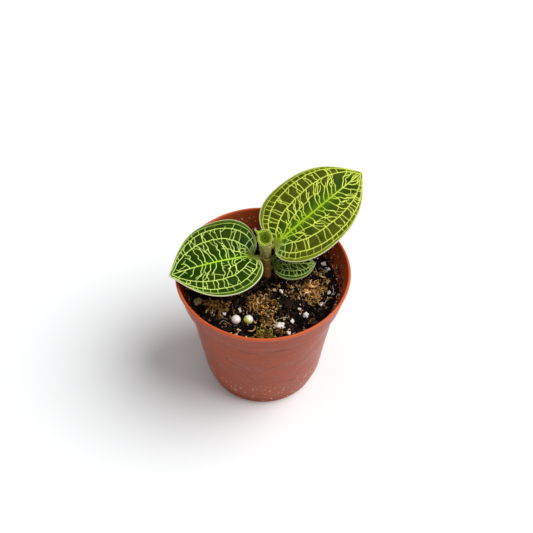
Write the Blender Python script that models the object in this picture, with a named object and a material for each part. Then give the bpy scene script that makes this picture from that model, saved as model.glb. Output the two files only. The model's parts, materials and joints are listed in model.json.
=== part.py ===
"""A jewel orchid growing in a small plastic nursery pot.

Units are metres and +Z is up. The origin is the middle of the pot's flat base.
The viewer stands at -Y; one large leaf rises to the right, one lies over the left rim.
"""
import math
import random
from dataclasses import dataclass

import bmesh
import bpy
from mathutils import Matrix, Vector

MM = 0.001
GAP = 0.3 * MM
SEED = 11

# Pot, a turned and moulded cup with a collar under its lip
POT_RIM_RADIUS = 30.0 * MM
POT_HEIGHT = 52.0 * MM
POT_WALL = 0.8 * MM
POT_FLOOR = 1.3 * MM
LIP_HEIGHT = 1.4 * MM
LIP_REACH = 0.9 * MM
COLLAR_HEIGHT = 9.1 * MM
COLLAR_FOOT_RADIUS = 28.1 * MM
BODY_TOP_RADIUS = 26.45 * MM
BODY_FOOT_RADIUS = 21.6 * MM
FOOT_HEIGHT = 5.5 * MM
FOOT_RADIUS = 20.0 * MM
POT_SEGMENTS = 48
DRAIN_COUNT = 6
DRAIN_DIAMETER = 4.4 * MM
DRAIN_SIDES = 10
DRAIN_RING_RADIUS = 15.0 * MM

# Soil, which fills the pot to just over the ledge inside the collar
SOIL_LEVEL = 44.3 * MM
SOIL_RIPPLE = 0.35 * MM
SOIL_RINGS = 10
SOIL_SEGMENTS = 40
CRUMB_COUNT = 50
CRUMB_HEIGHT = 0.75 * MM
CRUMB_RADIUS = 1.5 * MM

# Stem and roots
STEM_FOOT = Vector((1.4, 4.2, 43.5)) * MM
STEM_TOP = Vector((0.85, 4.8, 55.0)) * MM
STEM_RADIUS = 1.9 * MM
STEM_CORE_RADIUS = 1.45 * MM
STEM_CORE_START = 45.4 * MM
STEM_CORE_END = 55.6 * MM
STEM_SIDES = 16
CROWN_HEIGHT = 37.0 * MM
ROOT_RADIUS = 1.1 * MM
ROOT_TIP_RADIUS = 0.5 * MM
ROOT_SIDES = 6
ROOT_TURNS = (25.0, 115.0, 205.0, 290.0)
ROOT_REACHES = (13.0 * MM, 10.0 * MM, 14.0 * MM, 11.0 * MM)
ROOT_DEPTHS = (12.0 * MM, 20.0 * MM, 9.0 * MM, 17.0 * MM)

# Leaf sheaths that wrap the stem, one under each leaf
SHEATH_INNER_RADIUS = STEM_CORE_RADIUS + GAP
SHEATH_OUTER_RADIUS = 2.4 * MM
PETIOLE_SIDES = 12

# Blades
BLADE_THICKNESS = 0.72 * MM
KEEL_DEPTH = 0.8 * MM
KEEL_HALF_WIDTH = 0.8 * MM
VEIN_RELIEF = 0.2 * MM
WIDEST_SHARE = 0.45
INTERIOR_CURVE = 1.3
VEIN_COLUMNS = (0.5, 0.87)
CROSS_VEINS_FROM = 0.2
CROSS_VEINS_TO = 0.9
FINE_COLUMNS = (0.0, 0.06, 0.25, 0.44, 0.5, 0.56, 0.7, 0.82, 0.87, 0.92, 1.0)
PLAIN_COLUMNS = (0.0, 0.08, 0.3, 0.5, 0.7, 0.87, 1.0)

# Rolled young leaf
ROLL_SIDES = 22
ROLL_RADIUS = 2.15 * MM
ROLL_WALL = 0.6 * MM
ROLL_SPIRAL = 0.35 * MM
ROLL_SEAM_ANGLE = 80.0
ROLL_TIP_ANGLE = 150.0
ROLL_TIP_RISE = 2.2 * MM

# Moss
STRAND_SIDES = 3
STRAND_STEPS = 3
GOLDEN_TURN = math.radians(137.5)
STRAND_RADIUS = 0.42 * MM
STRAND_CLEARANCE = 0.55 * MM


@dataclass(frozen=True)
class Blade:
    """Outline and stance of one leaf blade, lengths in millimetres and angles in degrees."""

    length: float
    half_left: float
    half_right: float
    back_left: float
    back_right: float
    lobe_left: float
    lobe_right: float
    hook_left: float
    hook_right: float
    widest_at: float
    tip_run: float
    tip_width: float
    sinus: tuple
    heading: float
    rise: float
    roll: float
    arch: float
    channel: float
    droop: float
    lift: float
    rows: int
    columns: tuple


@dataclass(frozen=True)
class Sheath:
    """Stretch of stem that a leaf's base wraps, and the stalk from it to the blade, in millimetres."""

    bottom: float
    top: float
    stalk_leaves_at: float
    stalk_radius: float
    stalk_end_radius: float
    stalk_drop: float
    stalk_sink: float


BIG_LEAF = Blade(41.3, 14.9, 13.2, 3.8, 5.1, 0.46, 0.23, 0.58, 1.19, 0.34, 8.3, 0.70,
                 (4.23, 5.36, 58.78), 35.1, 23.4, 25.7, 22.8, 0.12, 0.22, 0.06, 22, FINE_COLUMNS)
BIG_SHEATH = Sheath(54.6, 60.3, 57.2, 1.25, 0.85, 1.0, 2.6)

SIDE_LEAF = Blade(29.5, 14.35, 15.8, 4.0, 4.6, 0.18, 0.32, 1.16, 1.25, 0.32, 5.5, 0.54,
                  (-3.51, 3.53, 54.72), 198.1, 10.3, -9.3, 25.6, 0.20, 0.17, 0.15, 20, FINE_COLUMNS)
SIDE_SHEATH = Sheath(49.3, 54.25, 51.9, 1.2, 0.85, 1.0, 2.4)

LOW_LEAF = Blade(15.3, 6.5, 6.5, 1.2, 0.9, 0.51, 0.52, 0.98, 0.95, 0.39, 1.9, 0.59,
                 (3.6, 5.2, 47.64), 9.1, 2.8, 4.7, 17.3, 0.14, 0.21, 0.11, 10, PLAIN_COLUMNS)
LOW_SHEATH = Sheath(45.7, 49.0, 46.9, 0.9, 0.6, 0.6, 1.6)

# Loose bits on the soil, as (x, y) in millimetres with a size
PERLITE_BITS = (
    (5.7, -17.8, 1.75), (14.5, -13.4, 1.2), (9.9, -15.6, 1.0), (8.6, -20.6, 0.9), (21.4, 10.1, 1.15),
    (23.2, 7.6, 0.95), (6.4, -2.6, 0.9), (12.4, -10.6, 0.85), (20.0, -8.2, 0.95), (22.8, -3.6, 0.8),
    (-8.0, -11.2, 0.9), (-13.1, -12.6, 0.8), (-22.3, -7.6, 1.7), (-7.0, 13.5, 1.2), (8.5, 17.5, 1.4),
    (-19.5, 9.5, 1.0),
)
PERLITE_POINTS = 13
BARK_POINTS = 11
CUSHION_POINTS = 26
CUSHION_SHARE = 0.55
CUSHION_RISE = 1.2
PRILL_BITS = ((-9.1, -15.4, 1.6), (-4.9, -15.3, 1.6))
BARK_BITS = (
    (-18.5, -3.0, 2.6, 30.0), (-12.2, -5.6, 2.2, 110.0), (9.2, -8.3, 2.3, 70.0), (17.5, -17.0, 2.1, 150.0),
    (-12.5, -19.8, 2.2, 15.0), (4.0, 12.0, 2.6, 40.0), (-12.0, 10.0, 2.4, 95.0), (15.0, 13.5, 2.6, 160.0),
    (-2.5, 20.5, 2.3, 5.0), (-21.5, 2.5, 2.0, 75.0), (14.0, 7.0, 2.0, 20.0),
)
MOSS_CLUMPS = (
    ("moss_centre", -1.6, -7.8, 5.4, 4.4, 15, "moss_brown"),
    ("moss_right", 16.6, -1.8, 5.2, 4.0, 14, "moss_tan"),
    ("moss_front", 0.6, -20.4, 3.3, 2.6, 9, "moss_green"),
    ("moss_left", -17.4, -9.6, 2.7, 2.4, 8, "moss_brown"),
    ("moss_back", 1.5, 15.5, 3.2, 2.6, 9, "moss_green"),
)

COLOURS = {
    "pot_plastic": ((0.29, 0.105, 0.07), 0.42),
    "peat": ((0.018, 0.012, 0.009), 0.95),
    "stem_green": ((0.12, 0.13, 0.025), 0.45),
    "leaf_olive": ((0.075, 0.115, 0.012), 0.38),
    "leaf_green": ((0.035, 0.075, 0.008), 0.38),
    "leaf_pale": ((0.25, 0.36, 0.05), 0.42),
    "moss_brown": ((0.11, 0.055, 0.02), 0.9),
    "moss_tan": ((0.26, 0.15, 0.05), 0.9),
    "moss_green": ((0.09, 0.085, 0.02), 0.9),
    "perlite": ((0.62, 0.60, 0.52), 0.9),
    "prill": ((0.68, 0.66, 0.48), 0.35),
    "bark": ((0.045, 0.025, 0.015), 0.85),
}


def clear_scene():
    """Remove every object that is in the file."""
    for old in list(bpy.data.objects):
        bpy.data.objects.remove(old, do_unlink=True)


def finish(name):
    """Return the named plain finish, made once."""
    found = bpy.data.materials.get(name)
    if found:
        return found
    colour, roughness = COLOURS[name]
    made = bpy.data.materials.new(name)
    made.use_nodes = True
    shader = made.node_tree.nodes["Principled BSDF"]
    shader.inputs["Base Color"].default_value = (*colour, 1.0)
    shader.inputs["Roughness"].default_value = roughness
    shader.inputs["Metallic"].default_value = 0.0
    return made


def make_object(name, mesh_data, finish_name, sharp_degrees=40.0):
    """Turn a bmesh into a named object with outward faces and smooth shading."""
    bmesh.ops.triangulate(mesh_data, faces=mesh_data.faces[:])
    bmesh.ops.recalc_face_normals(mesh_data, faces=mesh_data.faces[:])
    mesh = bpy.data.meshes.new(name)
    mesh_data.to_mesh(mesh)
    mesh_data.free()
    mesh.shade_smooth()
    mesh.set_sharp_from_angle(angle=math.radians(sharp_degrees))
    mesh.materials.append(finish(finish_name))
    made = bpy.data.objects.new(name, mesh)
    bpy.context.scene.collection.objects.link(made)
    return made


def drop_loose(mesh_data):
    """Keep the largest connected surface: loose scraps go, and sealed hollows are filled."""
    unseen = set(mesh_data.verts)
    groups = []
    while unseen:
        front = [unseen.pop()]
        group = list(front)
        while front:
            for edge in front.pop().link_edges:
                for vert in edge.verts:
                    if vert in unseen:
                        unseen.remove(vert)
                        front.append(vert)
                        group.append(vert)
        groups.append(group)
    groups.sort(key=len)
    spare = [vert for group in groups[:-1] for vert in group]
    bmesh.ops.delete(mesh_data, geom=spare, context="VERTS")


def combine(target, others, operation, solver="EXACT"):
    """Apply one Boolean of the other objects to the target, and remove them."""
    group = bpy.data.collections.new(target.name + "_operands")
    bpy.context.scene.collection.children.link(group)
    for other in others:
        group.objects.link(other)
    cut = target.modifiers.new("combine", "BOOLEAN")
    cut.operation = operation
    cut.solver = solver
    cut.operand_type = "COLLECTION"
    cut.collection = group
    bpy.context.view_layer.update()
    evaluated = target.evaluated_get(bpy.context.evaluated_depsgraph_get())
    result = bpy.data.meshes.new_from_object(evaluated)
    target.modifiers.clear()
    target.data = result
    for other in others:
        bpy.data.objects.remove(other, do_unlink=True)
    bpy.data.collections.remove(group)
    first = result.materials[0]
    result.materials.clear()
    result.materials.append(first)
    tidy = bmesh.new()
    tidy.from_mesh(result)
    bmesh.ops.triangulate(tidy, faces=tidy.faces[:])
    drop_loose(tidy)
    for face in tidy.faces:
        face.material_index = 0
    tidy.to_mesh(result)
    tidy.free()
    return target


def loft(mesh_data, rings):
    """Join rings of points with equal counts by bands, and close both ends."""
    built = [[mesh_data.verts.new(point) for point in ring] for ring in rings]
    count = len(built[0])
    for lower, upper in zip(built, built[1:]):
        for index in range(count):
            after = (index + 1) % count
            mesh_data.faces.new((lower[index], lower[after], upper[after], upper[index]))
    mesh_data.faces.new(built[0][::-1])
    mesh_data.faces.new(built[-1])
    return mesh_data


def turn(mesh_data, profile, segments):
    """Turn an open profile of (radius, height), whose two ends are on the axis."""
    rings = []
    for radius, height in profile:
        if radius <= 0.0:
            rings.append([mesh_data.verts.new((0.0, 0.0, height))])
            continue
        ring = []
        for index in range(segments):
            angle = 2.0 * math.pi * index / segments
            ring.append(mesh_data.verts.new((radius * math.cos(angle), radius * math.sin(angle), height)))
        rings.append(ring)
    for lower, upper in zip(rings, rings[1:]):
        for index in range(segments):
            after = (index + 1) % segments
            corners = [lower[index % len(lower)], lower[after % len(lower)],
                       upper[after % len(upper)], upper[index % len(upper)]]
            mesh_data.faces.new(list(dict.fromkeys(corners)))
    return mesh_data


def sweep_rings(path, radii, sides, flat=1.0):
    """Rings of points round a path, kept from twisting, each with its own radius."""
    rings = []
    side = None
    for index, point in enumerate(path):
        ahead = path[min(index + 1, len(path) - 1)]
        behind = path[max(index - 1, 0)]
        along = (ahead - behind).normalized()
        if side is None:
            side = along.orthogonal().normalized()
        side = (side - along * side.dot(along)).normalized()
        up = along.cross(side)
        ring = []
        for step in range(sides):
            angle = 2.0 * math.pi * step / sides
            ring.append(point + side * (radii[index] * math.cos(angle))
                        + up * (radii[index] * flat * math.sin(angle)))
        rings.append(ring)
    return rings


def curve_points(corners, count):
    """Evenly spaced points along a smooth cubic curve through four control corners."""
    first, second, third, last = corners
    points = []
    for index in range(count + 1):
        t = index / count
        s = 1.0 - t
        points.append(first * s**3 + second * (3 * s * s * t) + third * (3 * s * t * t) + last * t**3)
    return points


def stem_axis(height):
    """Point of the stem's leaning axis at a height above the floor."""
    share = (height - STEM_FOOT.z) / (STEM_TOP.z - STEM_FOOT.z)
    return STEM_FOOT.lerp(STEM_TOP, share)


def make_pot():
    """Cup with a lip, a collar, a stepped body and a foot, open at drain holes."""
    step = POT_HEIGHT - COLLAR_HEIGHT
    lip_foot = POT_HEIGHT - LIP_HEIGHT
    inner_top = POT_RIM_RADIUS - POT_WALL - LIP_REACH
    inner_step = step + POT_WALL
    inner_body_top = BODY_TOP_RADIUS - POT_WALL
    inner_floor_radius = FOOT_RADIUS - POT_WALL
    profile = (
        (0.0, 0.0),
        (FOOT_RADIUS - 0.4 * MM, 0.0),
        (FOOT_RADIUS, 0.4 * MM),
        (FOOT_RADIUS + 0.5 * MM, FOOT_HEIGHT - 0.9 * MM),
        (BODY_FOOT_RADIUS, FOOT_HEIGHT),
        (BODY_TOP_RADIUS, step),
        (COLLAR_FOOT_RADIUS, step + 0.15 * MM),
        (POT_RIM_RADIUS - LIP_REACH, lip_foot),
        (POT_RIM_RADIUS - 0.15 * MM, lip_foot + 0.25 * MM),
        (POT_RIM_RADIUS, POT_HEIGHT - 0.6 * MM),
        (POT_RIM_RADIUS - 0.3 * MM, POT_HEIGHT - 0.15 * MM),
        (POT_RIM_RADIUS - 0.8 * MM, POT_HEIGHT),
        (inner_top + 0.15 * MM, POT_HEIGHT - 0.25 * MM),
        (inner_top, POT_HEIGHT - 0.7 * MM),
        (COLLAR_FOOT_RADIUS - POT_WALL, inner_step),
        (inner_body_top, inner_step - 0.05 * MM),
        (BODY_FOOT_RADIUS - POT_WALL, FOOT_HEIGHT),
        (inner_floor_radius, POT_FLOOR),
        (0.0, POT_FLOOR),
    )
    pot = make_object("pot", turn(bmesh.new(), profile, POT_SEGMENTS), "pot_plastic")
    drills = []
    for index in range(DRAIN_COUNT):
        angle = 2.0 * math.pi * (index + 0.5) / DRAIN_COUNT
        middle = Vector((math.cos(angle), math.sin(angle), 0.0)) * DRAIN_RING_RADIUS
        path = [middle + Vector((0.0, 0.0, -2.0 * MM)), middle + Vector((0.0, 0.0, POT_FLOOR + 2.0 * MM))]
        radii = [DRAIN_DIAMETER / 2.0] * 2
        drill = loft(bmesh.new(), sweep_rings(path, radii, DRAIN_SIDES))
        drills.append(make_object("drain_%d" % index, drill, "pot_plastic"))
    return combine(pot, drills, "DIFFERENCE")


def make_crumbs():
    """Places and sizes of the lumps in the soil's surface."""
    draw = random.Random(SEED)
    crumbs = []
    for _ in range(CRUMB_COUNT):
        angle = draw.uniform(0.0, 2.0 * math.pi)
        radius = math.sqrt(draw.random()) * (BODY_TOP_RADIUS - 3.0 * MM)
        place = Vector((radius * math.cos(angle), radius * math.sin(angle)))
        crumbs.append((place, draw.uniform(0.4, 1.0) * CRUMB_HEIGHT, draw.uniform(0.7, 1.3) * CRUMB_RADIUS))
    return crumbs


CRUMBS = make_crumbs()


def soil_height(x, y):
    """Height of the soil's surface above the floor."""
    far = math.hypot(x, y)
    edge = max(0.0, min(1.0, (BODY_TOP_RADIUS - far) / (3.0 * MM)))
    wave = math.sin(x / (4.1 * MM) + 0.7) * math.cos(y / (5.3 * MM)) + 0.6 * math.sin((x + y) / (2.9 * MM))
    height = SOIL_LEVEL + SOIL_RIPPLE * wave * edge
    for place, rise, radius in CRUMBS:
        off = ((x - place.x) ** 2 + (y - place.y) ** 2) / radius**2
        height += rise * math.exp(-off) * edge
    return height


def make_soil():
    """Peat that fills the pot, with a lumpy top and a gap all round to the plastic."""
    ledge = POT_HEIGHT - COLLAR_HEIGHT + POT_WALL
    inner_body_top = BODY_TOP_RADIUS - POT_WALL
    top_radius = COLLAR_FOOT_RADIUS - POT_WALL - 0.2 * MM
    sides = (
        (FOOT_RADIUS - POT_WALL - 0.6 * MM, POT_FLOOR + GAP),
        (BODY_FOOT_RADIUS - POT_WALL - 0.45 * MM, FOOT_HEIGHT),
        (inner_body_top - 0.4 * MM, ledge + 0.3 * MM),
        (top_radius - 0.15 * MM, ledge + 0.4 * MM),
    )
    mesh_data = bmesh.new()
    rings = list(sides)
    for index in range(SOIL_RINGS, 0, -1):
        rings.append((top_radius * (index / SOIL_RINGS) ** 0.85, None))
    built = []
    for radius, height in rings:
        verts = []
        for step in range(SOIL_SEGMENTS):
            angle = 2.0 * math.pi * step / SOIL_SEGMENTS
            x = radius * math.cos(angle)
            y = radius * math.sin(angle)
            verts.append(mesh_data.verts.new((x, y, soil_height(x, y) if height is None else height)))
        built.append(verts)
    bottom = mesh_data.verts.new((0.0, 0.0, POT_FLOOR + GAP))
    top = mesh_data.verts.new((0.0, 0.0, soil_height(0.0, 0.0)))
    for step in range(SOIL_SEGMENTS):
        after = (step + 1) % SOIL_SEGMENTS
        mesh_data.faces.new((bottom, built[0][after], built[0][step]))
        mesh_data.faces.new((top, built[-1][step], built[-1][after]))
        for lower, upper in zip(built, built[1:]):
            mesh_data.faces.new((lower[step], lower[after], upper[after], upper[step]))
    return make_object("soil", mesh_data, "peat")


def stem_solid(name, extra):
    """Stem with a thick foot and a slimmer core, every radius grown by extra."""
    ring_height = STEM_CORE_START - 0.4 * MM
    stations = (
        (CROWN_HEIGHT - extra, 0.8 * STEM_RADIUS),
        (CROWN_HEIGHT + 2.0 * MM, STEM_RADIUS),
        (ring_height - 0.4 * MM, 0.97 * STEM_RADIUS),
        (ring_height, 1.06 * STEM_RADIUS),
        (STEM_CORE_START, STEM_RADIUS),
        (STEM_CORE_START + 0.01 * MM, STEM_CORE_RADIUS),
        (STEM_CORE_END + extra, STEM_CORE_RADIUS),
    )
    path = [stem_axis(height) for height, _ in stations]
    rings = sweep_rings(path, [radius + extra for _, radius in stations], STEM_SIDES)
    return make_object(name, loft(bmesh.new(), rings), "stem_green")


def root_solid(name, index, extra):
    """One fleshy root that runs down and outwards from the crown."""
    turn_angle = math.radians(ROOT_TURNS[index])
    out = Vector((math.cos(turn_angle), math.sin(turn_angle), 0.0))
    start = stem_axis(CROWN_HEIGHT + 1.5 * MM)
    end = start + out * ROOT_REACHES[index]
    end.z = ROOT_DEPTHS[index]
    corners = (start, start + out * 4.0 * MM, start + out * 9.0 * MM - Vector((0.0, 0.0, 9.0 * MM)), end)
    path = curve_points(corners, 5)
    radii = []
    for step in range(len(path)):
        share = step / (len(path) - 1)
        radii.append(ROOT_RADIUS + (ROOT_TIP_RADIUS - ROOT_RADIUS) * share + extra)
    if extra > 0.0:
        path.append(path[-1] + (path[-1] - path[-2]).normalized() * extra)
        radii.append(radii[-1])
    return make_object(name, loft(bmesh.new(), sweep_rings(path, radii, ROOT_SIDES)), "stem_green")


def make_stem(name, extra=0.0):
    """Stem and roots fused as one grown piece, or a fatter copy that clears them."""
    stem = stem_solid(name, extra)
    roots = [root_solid("%s_root_%d" % (name, index), index, extra) for index in range(len(ROOT_TURNS))]
    return combine(stem, roots, "UNION")


def blade_margin(blade, t, left):
    """Outline point for a share t of the way from the notch to the tip, on one side."""
    half = blade.half_left if left else blade.half_right
    back = blade.back_left if left else blade.back_right
    lobe = blade.lobe_left if left else blade.lobe_right
    hook = blade.hook_left if left else blade.hook_right
    widest = blade.widest_at * blade.length
    ahead = blade.length - widest
    if t <= WIDEST_SHARE:
        corners = ((0.0, 0.0), (-back * hook, lobe * half), (widest * 0.35 - back, half), (widest, half))
        u = t / WIDEST_SHARE
    else:
        corners = ((widest, half), (widest + 0.52 * ahead, half),
                   (blade.length - blade.tip_run, blade.tip_width * half), (blade.length, 0.0))
        u = (t - WIDEST_SHARE) / (1.0 - WIDEST_SHARE)
    weights = ((1 - u) ** 3, 3 * (1 - u) ** 2 * u, 3 * (1 - u) * u * u, u**3)
    x = sum(weight * corner[0] for weight, corner in zip(weights, corners))
    y = sum(weight * corner[1] for weight, corner in zip(weights, corners))
    return x, y


def blade_point(blade, t, v, relief=0.0, below=0.0):
    """World point of a blade: t runs notch to tip, v runs -1 to 1 across, relief is in millimetres."""
    edge_x, edge_y = blade_margin(blade, t, v >= 0.0)
    share = abs(v)
    x = blade.length * t + (edge_x - blade.length * t) * share**INTERIOR_CURVE
    y = math.copysign(edge_y * share, v)
    half = 0.5 * (blade.half_left + blade.half_right)
    across = y / half
    z = blade.channel * half * math.sqrt(across * across + 0.01) - blade.droop * half * across * across
    z += blade.lift * math.exp(-((x / (0.28 * blade.length)) ** 2)) * abs(across) * half
    z += relief
    z -= below
    bend = math.radians(blade.arch) / blade.length
    angle = bend * x
    local = Vector((math.sin(angle) / bend + z * math.sin(angle), y,
                    (math.cos(angle) - 1.0) / bend + z * math.cos(angle)))
    roll = Matrix.Rotation(math.radians(blade.roll), 4, "X")
    rise = Matrix.Rotation(math.radians(-blade.rise), 4, "Y")
    heading = Matrix.Rotation(math.radians(blade.heading), 4, "Z")
    return ((heading @ rise @ roll) @ local + Vector(blade.sinus)) * MM


def vein_relief(blade, t, v, row):
    """Raised net: long veins on their columns, cross veins on every other row."""
    fade = min(1.0, 6.0 * t, 5.0 * (1.0 - t))
    share = abs(v)
    on_vein = share == 0.0 or share in VEIN_COLUMNS
    on_cross = row % 2 == 0 and CROSS_VEINS_FROM < share < CROSS_VEINS_TO and row < blade.rows
    if on_vein or on_cross:
        return VEIN_RELIEF / MM * fade
    return 0.0


def keel(blade, t, v):
    """Extra depth of the midrib under the blade."""
    _, edge_y = blade_margin(blade, t, v >= 0.0)
    aside = abs(v) * edge_y * MM
    fade = max(0.0, 1.0 - t) ** 0.7 * min(1.0, 10.0 * t)
    return KEEL_DEPTH / MM * fade * math.exp(-((aside / KEEL_HALF_WIDTH) ** 2))


def make_blade(name, blade, finish_name):
    """Closed blade of even thickness, split into triangles alike on both faces."""
    columns = [-share for share in blade.columns[:0:-1]] + list(blade.columns)
    mesh_data = bmesh.new()
    thickness = BLADE_THICKNESS / MM
    faces_of = []
    for under in (False, True):
        grid = []
        for row in range(blade.rows + 1):
            t = row / blade.rows
            line = []
            for v in columns:
                if under:
                    place = blade_point(blade, t, v, 0.0, thickness + keel(blade, t, v))
                else:
                    place = blade_point(blade, t, v, vein_relief(blade, t, v, row))
                if row in (0, blade.rows) and line:
                    line.append(line[0])
                else:
                    line.append(mesh_data.verts.new(place))
            grid.append(line)
        faces_of.append(grid)
    for under, grid in enumerate(faces_of):
        for row in range(blade.rows):
            for column in range(len(columns) - 1):
                corners = (grid[row][column], grid[row + 1][column],
                           grid[row + 1][column + 1], grid[row][column + 1])
                if columns[column] < 0.0:
                    halves = ((0, 1, 2), (0, 2, 3))
                else:
                    halves = ((0, 1, 3), (1, 2, 3))
                for half in halves:
                    face = list(dict.fromkeys(corners[index] for index in half))
                    if len(face) == 3:
                        mesh_data.faces.new(face[::-1] if under else face)
    for column in (0, len(columns) - 1):
        for row in range(blade.rows):
            corners = (faces_of[0][row][column], faces_of[0][row + 1][column],
                       faces_of[1][row + 1][column], faces_of[1][row][column])
            mesh_data.faces.new(corners)
    return make_object(name, mesh_data, finish_name)


def sheath_solid(name, sheath, finish_name):
    """Plug of the sheath's outer size, which the stem's clearance is then cut from."""
    heights = (sheath.bottom, sheath.bottom + 0.6, sheath.top - 0.8, sheath.top)
    radii = (SHEATH_OUTER_RADIUS - 0.12 * MM, SHEATH_OUTER_RADIUS, SHEATH_OUTER_RADIUS,
             SHEATH_OUTER_RADIUS - 0.08 * MM)
    path = [stem_axis(height * MM) for height in heights]
    return make_object(name, loft(bmesh.new(), sweep_rings(path, radii, STEM_SIDES)), finish_name)


def stalk_solid(name, blade, sheath, finish_name):
    """Stalk that leaves the sheath and runs in under the blade's midrib."""
    start = stem_axis(sheath.stalk_leaves_at * MM)
    notch = blade_point(blade, 0.0, 0.0, 0.0, sheath.stalk_drop)
    inside = blade_point(blade, sheath.stalk_sink / blade.length, 0.0, 0.0, sheath.stalk_drop)
    ahead = (inside - notch).normalized() * 1.5 * MM
    corners = (start, start.lerp(notch, 0.5), notch - ahead, inside)
    path = curve_points(corners, 6)
    radii = []
    for step in range(len(path)):
        share = step / (len(path) - 1)
        radii.append((sheath.stalk_radius + (sheath.stalk_end_radius - sheath.stalk_radius) * share) * MM)
    return make_object(name, loft(bmesh.new(), sweep_rings(path, radii, PETIOLE_SIDES)), finish_name)


def make_leaf(name, blade, sheath, finish_name):
    """One leaf: blade, stalk and the sheath that wraps the stem with a small gap."""
    leaf = make_blade(name, blade, finish_name)
    stalk = stalk_solid(name + "_stalk", blade, sheath, finish_name)
    wrap = sheath_solid(name + "_wrap", sheath, finish_name)
    leaf = combine(leaf, [stalk, wrap], "UNION")
    path = [stem_axis((sheath.bottom - 3.0) * MM), stem_axis((sheath.top + 3.0) * MM)]
    core = loft(bmesh.new(), sweep_rings(path, [SHEATH_INNER_RADIUS] * 2, STEM_SIDES))
    return combine(leaf, [make_object(name + "_core", core, finish_name)], "DIFFERENCE")


def make_rolled_leaf():
    """Young leaf rolled into a tube, with a seam along it and a pointed, slanting mouth."""
    root_point = stem_axis(STEM_CORE_END + GAP)
    waist = stem_axis(60.6 * MM)
    throat = waist + Vector((-0.1, -0.55, 1.5)) * MM
    mouth = Vector((0.45, 3.7, 63.8)) * MM
    outer_path = [root_point, stem_axis(58.0 * MM), waist, waist.lerp(throat, 0.5), throat, mouth]
    outer_radii = [STEM_CORE_RADIUS - 0.05 * MM, STEM_CORE_RADIUS, STEM_CORE_RADIUS, 1.8 * MM,
                   ROLL_RADIUS - 0.1 * MM, ROLL_RADIUS]
    inner_path = [mouth, throat, waist, stem_axis(59.0 * MM)]
    inner_radii = [ROLL_RADIUS - ROLL_WALL, ROLL_RADIUS - 0.1 * MM - ROLL_WALL, 0.8 * MM, 0.5 * MM]
    seam = math.radians(ROLL_SEAM_ANGLE)
    tip = math.radians(ROLL_TIP_ANGLE)
    rings = []
    stations = list(zip(outer_path + inner_path, outer_radii + inner_radii))
    lean = (mouth - throat).normalized()
    side = Vector((1.0, 0.0, 0.0))
    side = (side - lean * side.dot(lean)).normalized()
    up = lean.cross(side)
    for index, (place, radius) in enumerate(stations):
        slack = min(1.0, max(0.0, (radius - 1.3 * MM) / (0.8 * MM)))
        at_mouth = index in (len(outer_path) - 1, len(outer_path))
        ring = []
        for step in range(ROLL_SIDES + 1):
            turned = step / ROLL_SIDES
            angle = seam + 2.0 * math.pi * turned
            reach = radius + ROLL_SPIRAL * (turned - 0.5) * slack
            closeness = max(0.0, math.cos(angle - tip))
            rise = ROLL_TIP_RISE * closeness**6 if at_mouth else 0.0
            reach += 0.35 * rise
            if index < 3 or index == len(stations) - 1:
                x_axis = Vector((1.0, 0.0, 0.0))
                y_axis = Vector((0.0, 1.0, 0.0))
            else:
                x_axis = side
                y_axis = up
            ring.append(place + x_axis * (reach * math.cos(angle)) + y_axis * (reach * math.sin(angle))
                        + lean * rise)
        rings.append(ring)
    mesh_data = loft(bmesh.new(), rings)
    bmesh.ops.remove_doubles(mesh_data, verts=mesh_data.verts[:], dist=0.01 * MM)
    return make_object("leaf_rolled", mesh_data, "leaf_pale")


def hull_solid(name, points, finish_name, sharp_degrees=25.0):
    """Closed solid round a cloud of points."""
    mesh_data = bmesh.new()
    for point in points:
        mesh_data.verts.new(point)
    result = bmesh.ops.convex_hull(mesh_data, input=mesh_data.verts[:])
    spare = [item for item in result["geom_interior"] if isinstance(item, bmesh.types.BMVert)]
    bmesh.ops.delete(mesh_data, geom=spare, context="VERTS")
    return make_object(name, mesh_data, finish_name, sharp_degrees)


def chip_points(draw, middle, sizes, heading, count, extra):
    """Points of an angular chip: a rough box of the given half sizes, grown by extra."""
    turned = Matrix.Rotation(math.radians(heading), 4, "Z")
    tilted = Matrix.Rotation(math.radians(draw.uniform(-12.0, 12.0)), 4, "X")
    points = []
    for _ in range(count):
        way = Vector((draw.gauss(0, 1), draw.gauss(0, 1), draw.gauss(0, 1))).normalized()
        blunt = max(abs(way.x), abs(way.y), abs(way.z)) ** 0.6
        reach = draw.uniform(0.88, 1.0) / blunt
        spot = Vector([way[axis] * reach * sizes[axis] for axis in range(3)])
        grown = spot + way * extra
        points.append(middle + turned @ (tilted @ grown))
    return points


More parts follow.
